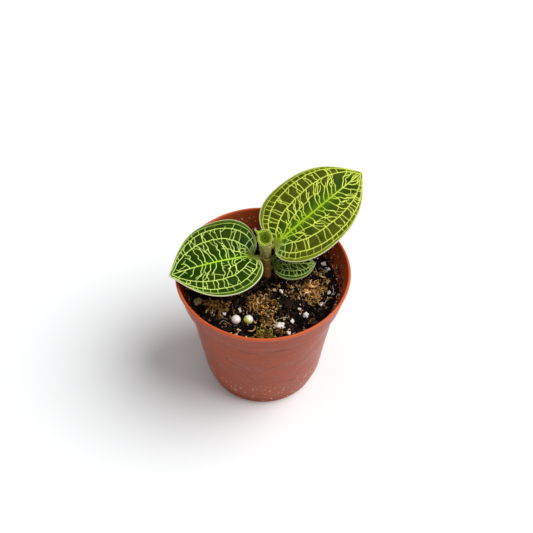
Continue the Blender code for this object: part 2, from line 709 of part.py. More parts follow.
def make_bits():
    """Perlite, feed prills and bark chips, with a fatter copy of each to seat it in the soil."""
    seats = []
    bits = []
    for index, (x, y, size) in enumerate(PERLITE_BITS):
        middle = Vector((x * MM, y * MM, soil_height(x * MM, y * MM) + 0.25 * size * MM))
        sizes = (size * MM, size * 0.78 * MM, size * 0.7 * MM)
        for grown, store in ((0.0, bits), (0.45 * MM, seats)):
            draw = random.Random(SEED * 100 + index)
            points = chip_points(draw, middle, sizes, 47.0 * index, PERLITE_POINTS, grown)
            name = "perlite_%02d%s" % (index + 1, "_seat" if grown else "")
            store.append(hull_solid(name, points, "perlite"))
    for index, (x, y, size, heading) in enumerate(BARK_BITS):
        middle = Vector((x * MM, y * MM, soil_height(x * MM, y * MM) + 0.15 * size * MM))
        sizes = (size * MM, size * 0.5 * MM, size * 0.3 * MM)
        for grown, store in ((0.0, bits), (0.45 * MM, seats)):
            draw = random.Random(SEED * 200 + index)
            points = chip_points(draw, middle, sizes, heading, BARK_POINTS, grown)
            name = "bark_%02d%s" % (index + 1, "_seat" if grown else "")
            store.append(hull_solid(name, points, "bark"))
    for index, (x, y, size) in enumerate(PRILL_BITS):
        middle = Vector((x * MM, y * MM, soil_height(x * MM, y * MM) + 0.45 * size * MM))
        for grown, store in ((0.0, bits), (0.35 * MM, seats)):
            ball = bmesh.new()
            bmesh.ops.create_icosphere(ball, subdivisions=2, radius=size * MM + grown,
                                       matrix=Matrix.Translation(middle))
            name = "prill_%02d%s" % (index + 1, "_seat" if grown else "")
            store.append(make_object(name, ball, "prill", 80.0))
    return seats


def moss_core(clump, extra):
    """Low lumpy cushion that the strands stand out of."""
    name, x, y, reach_x, reach_y, _, finish_name = clump
    draw = random.Random(name)
    middle = Vector((x * MM, y * MM, soil_height(x * MM, y * MM) + 0.2 * MM))
    points = []
    for _ in range(CUSHION_POINTS):
        way = Vector((draw.gauss(0, 1), draw.gauss(0, 1), draw.gauss(0, 1))).normalized()
        reach = draw.uniform(0.9, 1.0)
        spot = Vector((way.x * CUSHION_SHARE * reach_x, way.y * CUSHION_SHARE * reach_y, way.z * CUSHION_RISE))
        points.append(middle + spot * reach * MM + way * extra)
    return hull_solid(name + ("_seat" if extra else "_core"), points, finish_name, 60.0)


def moss_strand(draw, index, clump):
    """One curled, tapering strand, held clear above the soil."""
    name, x, y, reach_x, reach_y, _, finish_name = clump
    heading = index * GOLDEN_TURN
    inner = draw.uniform(0.1, 0.35)
    outer = draw.uniform(0.75, 1.0)
    swing = draw.uniform(-0.5, 0.9)
    peak = draw.uniform(0.4, 1.9) * MM
    path = []
    for step in range(STRAND_STEPS + 1):
        share = step / STRAND_STEPS
        far = inner + (outer - inner) * share
        angle = heading + swing * share
        px = (x + reach_x * far * math.cos(angle)) * MM
        py = (y + reach_y * far * math.sin(angle)) * MM
        ground = max(soil_height(px + dx, py + dy) for dx in (-MM, 0.0, MM) for dy in (-MM, 0.0, MM))
        rise = peak * math.sin(math.pi * (0.2 + 0.8 * share))
        lowest = ground + STRAND_CLEARANCE + STRAND_RADIUS
        path.append(Vector((px, py, lowest + rise if step else middle_height(x, y))))
    radii = [STRAND_RADIUS * (1.0 - 0.55 * step / STRAND_STEPS) for step in range(STRAND_STEPS + 1)]
    rings = sweep_rings(path, radii, STRAND_SIDES)
    return make_object("%s_strand_%d" % (name, index), loft(bmesh.new(), rings), finish_name)


def middle_height(x, y):
    """Height inside a moss cushion where its strands are rooted."""
    return soil_height(x * MM, y * MM) + 0.75 * MM


def make_moss():
    """Moss clumps, each a cushion with fused strands, and a fatter copy of each cushion."""
    seats = []
    for clump in MOSS_CLUMPS:
        name = clump[0]
        count = clump[5]
        draw = random.Random(name + "_strands")
        core = moss_core(clump, 0.0)
        strands = [moss_strand(draw, index, clump) for index in range(count)]
        fused = combine(core, strands, "UNION", "MANIFOLD")
        fused.name = name
        fused.data.name = name
        seats.append(moss_core(clump, 0.45 * MM))
    return seats


def main():
    """Build every piece of the potted plant."""
    clear_scene()
    make_pot()
    soil = make_soil()
    seats = make_bits() + make_moss()
    seats.append(make_stem("stem_seat", GAP))
    combine(soil, seats, "DIFFERENCE", "MANIFOLD")
    make_stem("stem")
    make_leaf("leaf_big", BIG_LEAF, BIG_SHEATH, "leaf_olive")
    make_leaf("leaf_side", SIDE_LEAF, SIDE_SHEATH, "leaf_green")
    make_leaf("leaf_low", LOW_LEAF, LOW_SHEATH, "leaf_green")
    make_rolled_leaf()


main()
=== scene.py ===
"""Looks of a jewel orchid growing in a small plastic nursery pot."""
import json
import logging
import math
import random
from dataclasses import dataclass
from enum import Enum
from typing import Any, Callable, Iterable, Sequence

import bmesh
import bpy
import numpy as np
from mathutils import Matrix, Vector, kdtree, noise

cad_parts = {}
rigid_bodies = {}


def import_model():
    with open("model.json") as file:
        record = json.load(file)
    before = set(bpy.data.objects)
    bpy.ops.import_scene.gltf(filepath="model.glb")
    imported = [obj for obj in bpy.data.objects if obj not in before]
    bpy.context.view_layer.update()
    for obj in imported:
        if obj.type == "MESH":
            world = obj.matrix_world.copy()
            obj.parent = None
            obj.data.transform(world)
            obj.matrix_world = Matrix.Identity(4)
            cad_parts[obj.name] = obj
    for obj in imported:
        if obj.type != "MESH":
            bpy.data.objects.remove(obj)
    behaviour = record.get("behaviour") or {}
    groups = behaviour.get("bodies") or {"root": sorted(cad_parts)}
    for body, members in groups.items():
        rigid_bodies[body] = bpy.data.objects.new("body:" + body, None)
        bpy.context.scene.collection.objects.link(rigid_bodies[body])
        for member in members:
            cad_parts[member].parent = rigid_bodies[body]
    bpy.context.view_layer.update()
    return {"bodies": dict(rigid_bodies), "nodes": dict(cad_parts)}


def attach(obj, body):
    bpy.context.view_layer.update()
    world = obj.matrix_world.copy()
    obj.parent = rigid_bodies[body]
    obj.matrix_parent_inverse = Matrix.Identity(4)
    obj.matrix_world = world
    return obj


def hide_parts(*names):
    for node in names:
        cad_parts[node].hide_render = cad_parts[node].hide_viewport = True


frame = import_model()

LOG = logging.getLogger("jewel_orchid")
MM = 0.001
SEED = 11
BODY = "root"

Colour = tuple[float, float, float]
Share = tuple[float, float]
Mesh = bpy.types.Mesh
Node = bpy.types.Node
Material = bpy.types.Material
Thing = bpy.types.Object
Three = tuple[float, float, float]
Four = tuple[float, float, float, float]

# Pot and soil sizes, the same as the solid model's, save that the peat lies a little lower
POT_HEIGHT = 52.0 * MM
COLLAR_HEIGHT = 9.1 * MM
BODY_TOP_RADIUS = 26.45 * MM
FOOT_HEIGHT = 5.5 * MM
POT_FLOOR = 1.3 * MM
SOIL_LEVEL = 43.0 * MM
SOIL_RIPPLE = 0.35 * MM
SOIL_TOP_RADIUS = 25.45 * MM
STEM_FOOT = Vector((1.4, 4.2, 43.5)) * MM
STEM_TOP = Vector((0.85, 4.8, 55.0)) * MM


def stem_axis(height: float) -> Vector:
    """Point of the leaning stem's axis at a height in metres."""
    return STEM_FOOT.lerp(STEM_TOP, (height - STEM_FOOT.z) / (STEM_TOP.z - STEM_FOOT.z))


def smooth(value: Any, low: float, high: float) -> Any:
    """Smooth step of a number or an array, 0 at low and 1 at high."""
    share = np.clip((value - low) / (high - low), 0.0, 1.0)
    return share * share * (3.0 - 2.0 * share)


def rough_at(place: Vector, feature: float, octaves: int = 3) -> float:
    """Fractal noise of about -1 to 1 at a place, with features of the given size."""
    return noise.fractal(place / feature, 0.6, 2.1, octaves)


def scaled(colour: Colour, factor: float, lift: float = 0.0) -> Colour:
    """Colour made darker or brighter."""
    return tuple(factor * part + lift for part in colour)


def turns(count: int) -> list[float]:
    """Angles of one full turn in equal steps."""
    return [2.0 * math.pi * step / count for step in range(count)]


def summing(operation: str, number_first: bool = False) -> Callable[["Wire", Any], "Wire"]:
    """Method of a wire that adds one math node to its tree.

    Args:
        operation: Name of the math node's operation.
        number_first: Whether the other value is the first of the two.

    Returns:
        The method.
    """
    def combined(self: "Wire", other: Any) -> "Wire":
        """Result of the operation on the wire and a number or another wire."""
        return self.graph.math(operation, *((other, self) if number_first else (self, other)))
    return combined


@dataclass(frozen=True)
class Wire:
    """Output of a node, with the sums that a shader or a recipe makes of it."""

    graph: "Graph"
    socket: bpy.types.NodeSocket

    __add__ = summing("ADD")
    __sub__ = summing("SUBTRACT")
    __mul__ = summing("MULTIPLY")
    __truediv__ = summing("DIVIDE")
    __rtruediv__ = summing("DIVIDE", True)
    __pow__ = summing("POWER")
    __rpow__ = summing("POWER", True)


class Graph:
    """Short calls that build one shader or geometry tree."""

    def __init__(self, tree: bpy.types.NodeTree) -> None:
        """Start on a tree that is empty or has only its own nodes."""
        self.tree = tree

    def add(self, kind: str, inputs: dict[str, Any] | None = None, **settings: Any) -> Node:
        """Add a node.

        Args:
            kind: Blender's type name of the node.
            inputs: Values or sockets for its inputs, by name.
            settings: Properties of the node.

        Returns:
            The new node.
        """
        node = self.tree.nodes.new(kind)
        for name, value in settings.items():
            setattr(node, name, value)
        for name, value in (inputs or {}).items():
            self.feed(next(s for s in node.inputs if s.name == name and s.enabled), value)
        return node

    def feed(self, socket: bpy.types.NodeSocket, value: Any) -> None:
        """Link a wire or a node's output to an input, or set a plain value on it.

        Args:
            socket: The input.
            value: Wire, output or plain value.
        """
        value = value.socket if isinstance(value, Wire) else value
        if isinstance(value, bpy.types.NodeSocket):
            self.tree.links.new(value, socket)
        elif isinstance(value, tuple) and socket.type == "RGBA":
            socket.default_value = (*value, 1.0)
        else:
            socket.default_value = value

    def out(self, node: Node, name: str = "") -> Wire:
        """First live output of a node, or the one with that name."""
        return Wire(self, next(s for s in node.outputs if s.enabled and name in ("", s.name)))

    def wire(self, kind: str, inputs: dict[str, Any] | None = None, **settings: Any) -> Wire:
        """First live output of a new node."""
        return self.out(self.add(kind, inputs, **settings))

    def math(self, operation: str, *values: Any, clamp: bool = False) -> Wire:
        """Result of a math node on numbers or sockets.

        Args:
            operation: Name of the operation.
            *values: Its numbers or wires in order.
            clamp: Whether the result is kept from 0 to 1.

        Returns:
            The result.
        """
        node = self.add("ShaderNodeMath", operation=operation, use_clamp=clamp)
        for socket, value in zip(node.inputs, values):
            self.feed(socket, value)
        return self.out(node)

    def vector(self, operation: str, *values: Any) -> Wire:
        """Result of a vector math node; a plain number goes to its scale.

        Args:
            operation: Name of the operation.
            *values: Its vectors, wires or scale in order.

        Returns:
            The result.
        """
        node = self.add("ShaderNodeVectorMath", operation=operation)
        for index, value in enumerate(values):
            socket = node.inputs["Scale"] if operation == "SCALE" and index == 1 else node.inputs[index]
            self.feed(socket, value)
        return self.out(node)

    def step(self, value: Wire, low: float, high: float, start: float = 0.0, end: float = 1.0) -> Wire:
        """Smooth step of a socket from start at low to end at high.

        Args:
            value: Wire that is read.
            low: Value where the step starts.
            high: Value where it ends; it may be the lower of the two.
            start: Result at low.
            end: Result at high.

        Returns:
            The step.
        """
        turned = low > high
        limits = {"Value": value, "From Min": min(low, high), "From Max": max(low, high),
                  "To Min": end if turned else start, "To Max": start if turned else end}
        return self.wire("ShaderNodeMapRange", limits, interpolation_type="SMOOTHSTEP")

    def combine(self, x: Any, y: Any, z: Any) -> Wire:
        """Vector of three numbers or sockets."""
        return self.wire("ShaderNodeCombineXYZ", {"X": x, "Y": y, "Z": z})


class Paint(Graph):
    """Shader tree of one material, with its Principled shader."""

    def __init__(self, name: str, roughness: float = 0.5) -> None:
        """Make the material and the nodes that every finish uses.

        Args:
            name: Name of the material.
            roughness: Roughness of its surface.
        """
        self.material = bpy.data.materials.new(name)
        self.material.use_nodes = True
        super().__init__(self.material.node_tree)
        self.shader = self.tree.nodes["Principled BSDF"]
        self.shader.inputs["Roughness"].default_value = roughness
        self.place = self.out(self.add("ShaderNodeTexCoord"), "Object")
        self.coat: Any = None

    def mix(self, share: Any, low: Any, high: Any, mode: str = "MIX") -> Wire:
        """Blend of two colours."""
        inputs = {"Factor": share, "A": low, "B": high}
        return self.wire("ShaderNodeMix", inputs, data_type="RGBA", blend_type=mode)

    def lay(self, share: Any, colour: Any) -> None:
        """Lay a colour over what the coat has so far."""
        self.coat = self.mix(share, self.coat, colour)

    def attribute(self, name: str) -> Wire:
        """Number that the mesh stores under a name."""
        return self.out(self.add("ShaderNodeAttribute", attribute_name=name), "Fac")

    def noise(self, feature: float, detail: float = 3.0, rough: float = 0.55, place: Any = None) -> Wire:
        """Noise of about 0 to 1 with features of a size in millimetres.

        Args:
            feature: Size of the features.
            detail: Number of finer layers.
            rough: Strength of each finer layer.
            place: Place that is read, or None for the object's.

        Returns:
            The noise.
        """
        inputs = {"Vector": place or self.place, "Scale": 1.0 / (feature * MM), "Detail": detail,
                  "Roughness": rough}
        return self.out(self.add("ShaderNodeTexNoise", inputs), "Fac")

    def cells(self, feature: float, place: Any = None, kind: str = "F1", output: str = "Distance") -> Wire:
        """Distance or colour of a cell pattern with cells of a size in millimetres."""
        inputs = {"Vector": place or self.place, "Scale": 1.0 / (feature * MM)}
        return self.out(self.add("ShaderNodeTexVoronoi", inputs, feature=kind), output)

    def stretched(self, x: float, y: float, z: float) -> Wire:
        """Object coordinates scaled on each axis."""
        return self.vector("MULTIPLY", self.place, (x, y, z))

    def colour(self, value: Any) -> None:
        """Set or link the base colour."""
        self.feed(self.shader.inputs["Base Color"], value)

    def roughness(self, value: Any) -> None:
        """Set or link the roughness."""
        self.feed(self.shader.inputs["Roughness"], value)

    def relief(self, height: Wire, depth: float, strength: float = 1.0) -> None:
        """Bump from a height of 0 to 1 that stands for a depth in millimetres."""
        bump = self.add("ShaderNodeBump", {"Height": height, "Distance": depth * MM, "Strength": strength})
        self.feed(self.shader.inputs["Normal"], bump.outputs["Normal"])

    def glow_within(self, weight: float, reach: Colour, scale: float) -> None:
        """Light that spreads under the surface: its weight, spread by colour, and reach in millimetres.

        Args:
            weight: Share of light that spreads.
            reach: Spread of red, green and blue.
            scale: Reach in millimetres.
        """
        self.shader.inputs["Subsurface Weight"].default_value = weight
        self.shader.inputs["Subsurface Radius"].default_value = reach
        self.shader.inputs["Subsurface Scale"].default_value = scale * MM

    def gloss(self, specular: float, coat: float = 0.0, coat_roughness: float = 0.1) -> None:
        """Strength of the surface's own gloss and of a clear coat.

        Args:
            specular: Strength of the gloss.
            coat: Weight of the clear coat.
            coat_roughness: Roughness of the coat.
        """
        self.shader.inputs["Specular IOR Level"].default_value = specular
        self.shader.inputs["Coat Weight"].default_value = coat
        self.shader.inputs["Coat Roughness"].default_value = coat_roughness


class Recipe(Graph):
    """Geometry tree with named inputs, which turns a host object into a plain mesh."""

    def __init__(self, name: str) -> None:
        """Make the tree with its geometry input and output.

        Args:
            name: Name of the tree.
        """
        super().__init__(bpy.data.node_groups.new(name, "GeometryNodeTree"))
        self.tree.interface.new_socket("Geometry", in_out="INPUT", socket_type="NodeSocketGeometry")
        self.tree.interface.new_socket("Geometry", in_out="OUTPUT", socket_type="NodeSocketGeometry")
        self.source = self.tree.nodes.new("NodeGroupInput")
        self.host = self.out(self.source)
        self.target = self.tree.nodes.new("NodeGroupOutput")

    def ask(self, **kinds: str) -> list[Wire]:
        """Add named inputs of kinds such as Float, Int, Object or Material, with underscores for spaces.

        Args:
            **kinds: Kind of each input under its name.

        Returns:
            The inputs' wires in order.
        """
        names = [name.replace("_", " ") for name in kinds]
        for name, kind in zip(names, kinds.values()):
            self.tree.interface.new_socket(name, in_out="INPUT", socket_type="NodeSocket" + kind)
        return [Wire(self, self.source.outputs[name]) for name in names]

    def stored(self, name: str) -> Wire:
        """Number that the host's mesh stores under a name."""
        return self.wire("GeometryNodeInputNamedAttribute", {"Name": name}, data_type="FLOAT")

    def store(self, geometry: Wire, name: str, value: Any, domain: str = "POINT") -> Wire:
        """Store a number under a name, and return the geometry.

        Args:
            geometry: Geometry that keeps it.
            name: Name of the attribute.
            value: Number or wire.
            domain: Part of the geometry that it belongs to.

        Returns:
            The geometry with the number.
        """
        inputs = {"Geometry": geometry, "Name": name, "Value": value}
        node = self.add("GeometryNodeStoreNamedAttribute", inputs, data_type="FLOAT", domain=domain)
        return self.out(node)

    def pushed(self, geometry: Wire, height: Wire) -> Wire:
        """Geometry whose points are moved along their normals."""
        push = self.vector("SCALE", self.wire("GeometryNodeInputNormal"), height)
        return self.wire("GeometryNodeSetPosition", {"Geometry": geometry, "Offset": push})

    def chance(self, low: Any, high: Any, seed: Any, kind: str = "FLOAT") -> Wire:
        """Random number, whole number or vector between two limits."""
        inputs = {"Min": low, "Max": high, "Seed": seed}
        return self.wire("FunctionNodeRandomValue", inputs, data_type=kind)

    def close(self, geometry: Wire, material: Wire, shade_smooth: bool = True) -> None:
        """End the tree in Realize Instances and Set Material.

        Args:
            geometry: What the tree has made.
            material: Wire of its material.
            shade_smooth: Whether its faces are shaded smooth.
        """
        real = self.wire("GeometryNodeRealizeInstances", {"Geometry": geometry})
        shaded = self.add("GeometryNodeSetShadeSmooth", {"Shade Smooth": shade_smooth})
        self.feed(shaded.inputs[0], real)
        dressed = self.wire("GeometryNodeSetMaterial", {"Geometry": self.out(shaded), "Material": material})
        self.feed(self.target.inputs[0], dressed)

    def cook(self, name: str, host: Thing, **values: Any) -> Thing:
        """Run the tree on a host object, and replace the host by a plain mesh object.

        Args:
            name: Name of the finished object.
            host: Object that gives the tree its geometry; it is removed.
            values: Inputs by name, with underscores for spaces.

        Returns:
            The finished object, at the origin.
        """
        modifier = host.modifiers.new("recipe", "NODES")
        modifier.node_group = self.tree
        for item in self.tree.interface.items_tree:
            if item.in_out == "INPUT" and item.name.replace(" ", "_") in values:
                modifier[item.identifier] = values[item.name.replace(" ", "_")]
        mesh = settled(host)
        drop(host)
        mesh.name = name
        return show(name, mesh, values["Material"])


def settled(host: Thing) -> Mesh:
    """Plain mesh of an object as its modifiers leave it; the modifiers are removed.

    Args:
        host: Object with live modifiers.

    Returns:
        The mesh.
    """
    bpy.context.view_layer.update()
    mesh = bpy.data.meshes.new_from_object(host.evaluated_get(bpy.context.evaluated_depsgraph_get()))
    host.modifiers.clear()
    return mesh


def drop(thing: Thing) -> None:
    """Remove an object."""
    bpy.data.objects.remove(thing, do_unlink=True)


def place(name: str, data: Any) -> Thing:
    """Object of the scene for a mesh, a lamp or a camera.

    Args:
        name: Name of the object.
        data: Mesh, lamp or camera that it shows.

    Returns:
        The object.
    """
    made = bpy.data.objects.new(name, data)
    bpy.context.scene.collection.objects.link(made)
    return made


def show(name: str, mesh: Mesh, material: Material | None = None) -> Thing:
    """Object at the origin for a mesh, with a material if one is given.

    Args:
        name: Name of the object.
        mesh: Its mesh.
        material: Its only material, or None to keep the mesh's own.

    Returns:
        The object.
    """
    if material is not None:
        mesh.materials.clear()
        mesh.materials.append(material)
    return place(name, mesh)


def plain_mesh(name: str, points: Any, faces: Sequence[Sequence[int]]) -> Mesh:
    """Smooth mesh of points in metres and faces.

    Args:
        name: Name of the mesh.
        points: Its points.
        faces: Rows of point numbers.

    Returns:
        The mesh.
    """
    mesh = bpy.data.meshes.new(name)
    mesh.from_pydata([tuple(map(float, point)) for point in points], [], faces)
    mesh.shade_smooth()
    mesh.update()
    return mesh


def keep_numbers(mesh: Mesh, name: str, values: Any) -> None:
    """Store one number for each vertex under a name."""
    layer = mesh.attributes.new(name, "FLOAT", "POINT")
    layer.data.foreach_set("value", np.asarray(values, np.float32))


def set_down(work: bmesh.types.BMesh, mesh: Mesh, turn_out: bool = True) -> Mesh:
    """Write a work mesh to a mesh and free it, with every face of it turned outwards if asked.

    Args:
        work: The work mesh.
        mesh: Mesh that takes it.
        turn_out: Whether the faces are turned outwards first.

    Returns:
        The mesh.
    """
    if turn_out:
        bmesh.ops.recalc_face_normals(work, faces=work.faces[:])
    work.to_mesh(mesh)
    work.free()
    return mesh


def face_out(mesh: Mesh) -> None:
    """Turn every face of a closed mesh outwards.

    Args:
        mesh: The closed mesh.
    """
    work = bmesh.new()
    work.from_mesh(mesh)
    set_down(work, mesh)


def join(name: str, parts: Sequence[Thing]) -> Thing:
    """Join several mesh objects into the first one and name it.

    Args:
        name: Name of the joined object.
        parts: The objects, of which the first one stays.

    Returns:
        The joined object.
    """
    first = parts[0]
    if len(parts) > 1:
        with bpy.context.temp_override(active_object=first, object=first, selected_objects=list(parts),
                                       selected_editable_objects=list(parts)):
            bpy.ops.object.join()
    first.name = name
    first.data.name = name
    return first


def hand_in(piece: Thing, slot: str, *nodes: str) -> None:
    """Fix a finished piece to the part, hide the nodes that it stands for, and log it with its finish slot.

    Args:
        piece: The finished piece.
        slot: Name of its finish.
        nodes: Nodes of the solid model that it stands for.
    """
    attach(piece, BODY)
    if nodes:
        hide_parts(*nodes)
    LOG.info("%s: %d faces, slot %s, stands for %s", piece.name, len(piece.data.polygons), slot,
             ", ".join(nodes) or "nothing")


def skin(first: int, rows: int, count: int, closed: bool = False) -> list[list[int]]:
    """Four-sided faces between rings of points that follow one another.

    Args:
        first: Index of the first ring's first point.
        rows: Number of rings.
        count: Number of points in a ring.
        closed: Whether the last ring joins the first one too.

    Returns:
        The faces, ring by ring.
    """
    faces = []
    for row in range(rows if closed else rows - 1):
        low, high = first + row * count, first + (row + 1) % rows * count
        for step in range(count):
            after = (step + 1) % count
            faces.append([low + step, low + after, high + after, high + step])
    return faces


def closed_mesh(name: str, points: Sequence[Any], faces: Sequence[Sequence[int]]) -> Mesh:
    """Smooth closed mesh with its faces turned outwards.

    Args:
        name: Name of the mesh.
        points: Its points.
        faces: Rows of point numbers.

    Returns:
        The mesh.
    """
    mesh = plain_mesh(name, points, faces)
    face_out(mesh)
    return mesh


def tube_mesh(name: str, rings: Sequence[Sequence[Vector]]) -> Mesh:
    """Closed tube through rings with equal counts of points, capped at both ends.

    Args:
        name: Name of the mesh.
        rings: Rings of points from one end to the other.

    Returns:
        The mesh.
    """
    count = len(rings[0])
    points = [point for ring in rings for point in ring]
    last = range(len(points) - count, len(points))
    return closed_mesh(name, points, [list(range(count))[::-1], *skin(0, len(rings), count), list(last)])


def cubic(corners: Sequence[Vector], count: int) -> list[Vector]:
    """Evenly spaced points along a cubic curve through four control corners.

    Args:
        corners: The four corners.
        count: Number of steps.

    Returns:
        One point more than the steps.
    """
    points = []
    for index in range(count + 1):
        t = index / count
        s = 1.0 - t
        points.append(corners[0] * s**3 + corners[1] * (3 * s * s * t)
                      + corners[2] * (3 * s * t * t) + corners[3] * t**3)
    return points


def line_object(name: str, path: Sequence[Vector], radii: Sequence[float]) -> Thing:
    """Chain of edges that carries a radius at each point, as a host for the sweep.

    Args:
        name: Name of the object.
        path: Points in metres.
        radii: Radii in metres.

    Returns:
        The chain.
    """
    mesh = bpy.data.meshes.new(name)
    mesh.from_pydata([tuple(point) for point in path], [(i, i + 1) for i in range(len(path) - 1)], [])
    keep_numbers(mesh, "reach", radii)
    return show(name, mesh)


class Sweep(Recipe):
    """Round skin along a path, with a radius at each point and closed ends."""

    def __init__(self) -> None:
        """Build the tree."""
        super().__init__("sweep along a path")
        sides, grain, size, material = self.ask(Sides="Int", Grain_Depth="Float", Grain_Size="Float",
                                                Material="Material")
        curve = self.wire("GeometryNodeMeshToCurve", {"Mesh": self.host})
        ring = self.wire("GeometryNodeCurvePrimitiveCircle", {"Resolution": sides, "Radius": 1.0})
        skin = self.wire("GeometryNodeCurveToMesh", {"Curve": curve, "Scale": self.stored("reach"),
                                                     "Profile Curve": ring, "Fill Caps": True})
        place = self.wire("GeometryNodeInputPosition")
        bumps = self.wire("ShaderNodeTexNoise", {"Vector": self.vector("SCALE", place, 1.0 / size),
                                                 "Scale": 1.0, "Detail": 3.0})
        self.close(self.pushed(skin, (bumps - 0.5) * grain), material)


@dataclass(frozen=True)
class LeafFinish:
    """Colours of one leaf's upper side, in linear light, with sizes in millimetres."""

    name: str
    near: Colour
    far: Colour
    glow: Colour
    glow_reach: float
    glow_share: float
    margin: Colour
    vein: Colour
    vein_near: Colour
    edge: Colour = (0.74, 0.77, 0.44)
    throat: Colour = (0.19, 0.21, 0.022)
    under: Colour = (0.16, 0.20, 0.07)
    band: float = 1.25

    def make(self) -> Material:
        """Leaf skin: dark cells between bright veins, a glow by the midrib, a plain margin and pale edge."""
        paint = Paint(self.name, 0.42)
        gap = paint.attribute("vein_gap")
        rim = paint.attribute("rim")
        aside = paint.attribute("aside")
        notch = paint.attribute("notch")
        mottle = paint.noise(2.2, 3.0)
        grain = paint.noise(0.35, 2.0)
        cell = paint.mix(paint.step(aside, 1.5, 7.0), self.near, self.far)
        cell = paint.mix(paint.step(mottle, 0.35, 0.75, 0.0, 0.7), cell, scaled(self.near, 0.5))
        cell = paint.mix(paint.step(grain, 0.4, 0.8, 0.0, 0.25), cell, scaled(self.near, 1.7))
        falls = math.e ** ((aside / self.glow_reach) ** 2.0 * -1.0)
        falls = falls * paint.step(paint.attribute("along"), 0.82, 0.55)
        glow = falls * self.glow_share
        cell = paint.mix(glow, cell, self.glow)
        halo = paint.step(gap, 0.42, 0.0) * 0.3
        cell = paint.mix(halo, cell, tuple(0.5 * c + 0.5 * g for c, g in zip(self.margin, self.glow)))
        banded = paint.mix(paint.step(rim + mottle * 0.5, self.band + 0.45, self.band - 0.05), cell,
                           self.margin)
        near_line = paint.mix(falls, self.vein, self.vein_near)
        near_line = paint.mix(paint.attribute("chalk"), near_line, (0.42, 0.52, 0.26))
        line = paint.step(gap, 0.055, -0.045) * paint.attribute("vein_shine")
        lined = paint.mix(line, banded, near_line)
        edging = paint.step(rim, 0.44, 0.26) * paint.step(notch, 2.2, 3.6)
        edged = paint.mix(edging, lined, self.edge)
        edged = paint.mix(paint.step(notch + mottle, 4.2, 1.2, 0.0, 0.85), edged, self.throat)
        below = paint.attribute("under")
        faint = paint.mix(line * 0.35, self.under, self.vein)
        paint.colour(paint.mix(below, edged, faint))
        paint.roughness(paint.step(grain, 0.3, 0.7, 0.36, 0.5))
        paint.relief(paint.noise(0.16, 2.0) + grain * 0.8, 0.03)
        paint.glow_within(0.12, (0.5, 1.0, 0.2), 0.6)
        paint.gloss(0.03)
        return paint.material


@dataclass(frozen=True)
class FleshFinish:
    """Skin of a stalk, sheath, stem or young leaf, in linear light."""

    name: str
    low: Colour
    high: Colour
    streak: Colour
    low_height: float
    high_height: float
    streak_share: float = 0.5
    roughness: float = 0.4

    def make(self) -> Material:
        """Fleshy skin that changes colour with height and has fine streaks along its length."""
        paint = Paint(self.name, self.roughness)
        height = paint.out(paint.add("ShaderNodeSeparateXYZ", {"Vector": paint.place}), "Z")
        mottle = paint.noise(1.6, 3.0)
        ripening = paint.step(height + mottle * (2.0 * MM), self.low_height * MM, self.high_height * MM)
        base = paint.mix(ripening, self.low, self.high)
        lines = paint.noise(0.45, 2.0, 0.5, paint.stretched(1.0, 1.0, 0.12))
        base = paint.mix(paint.step(lines, 0.48, 0.68, 0.0, self.streak_share), base, self.streak)
        base = paint.mix(paint.step(mottle, 0.55, 0.75, 0.0, 0.45), base, scaled(self.low, 0.5))
        paint.colour(base)
        paint.relief(lines + paint.noise(0.25, 2.0), 0.05)
        paint.glow_within(0.25, (0.9, 1.0, 0.35), 0.8)
        paint.gloss(0.45)
        return paint.material


@dataclass(frozen=True)
class Scuff:
    """Rubbed mark on the pot: its turn and tilt in degrees, and its place and half sizes in millimetres."""

    turn: float
    height: float
    half_length: float
    half_width: float
    tilt: float
    strength: float = 0.8


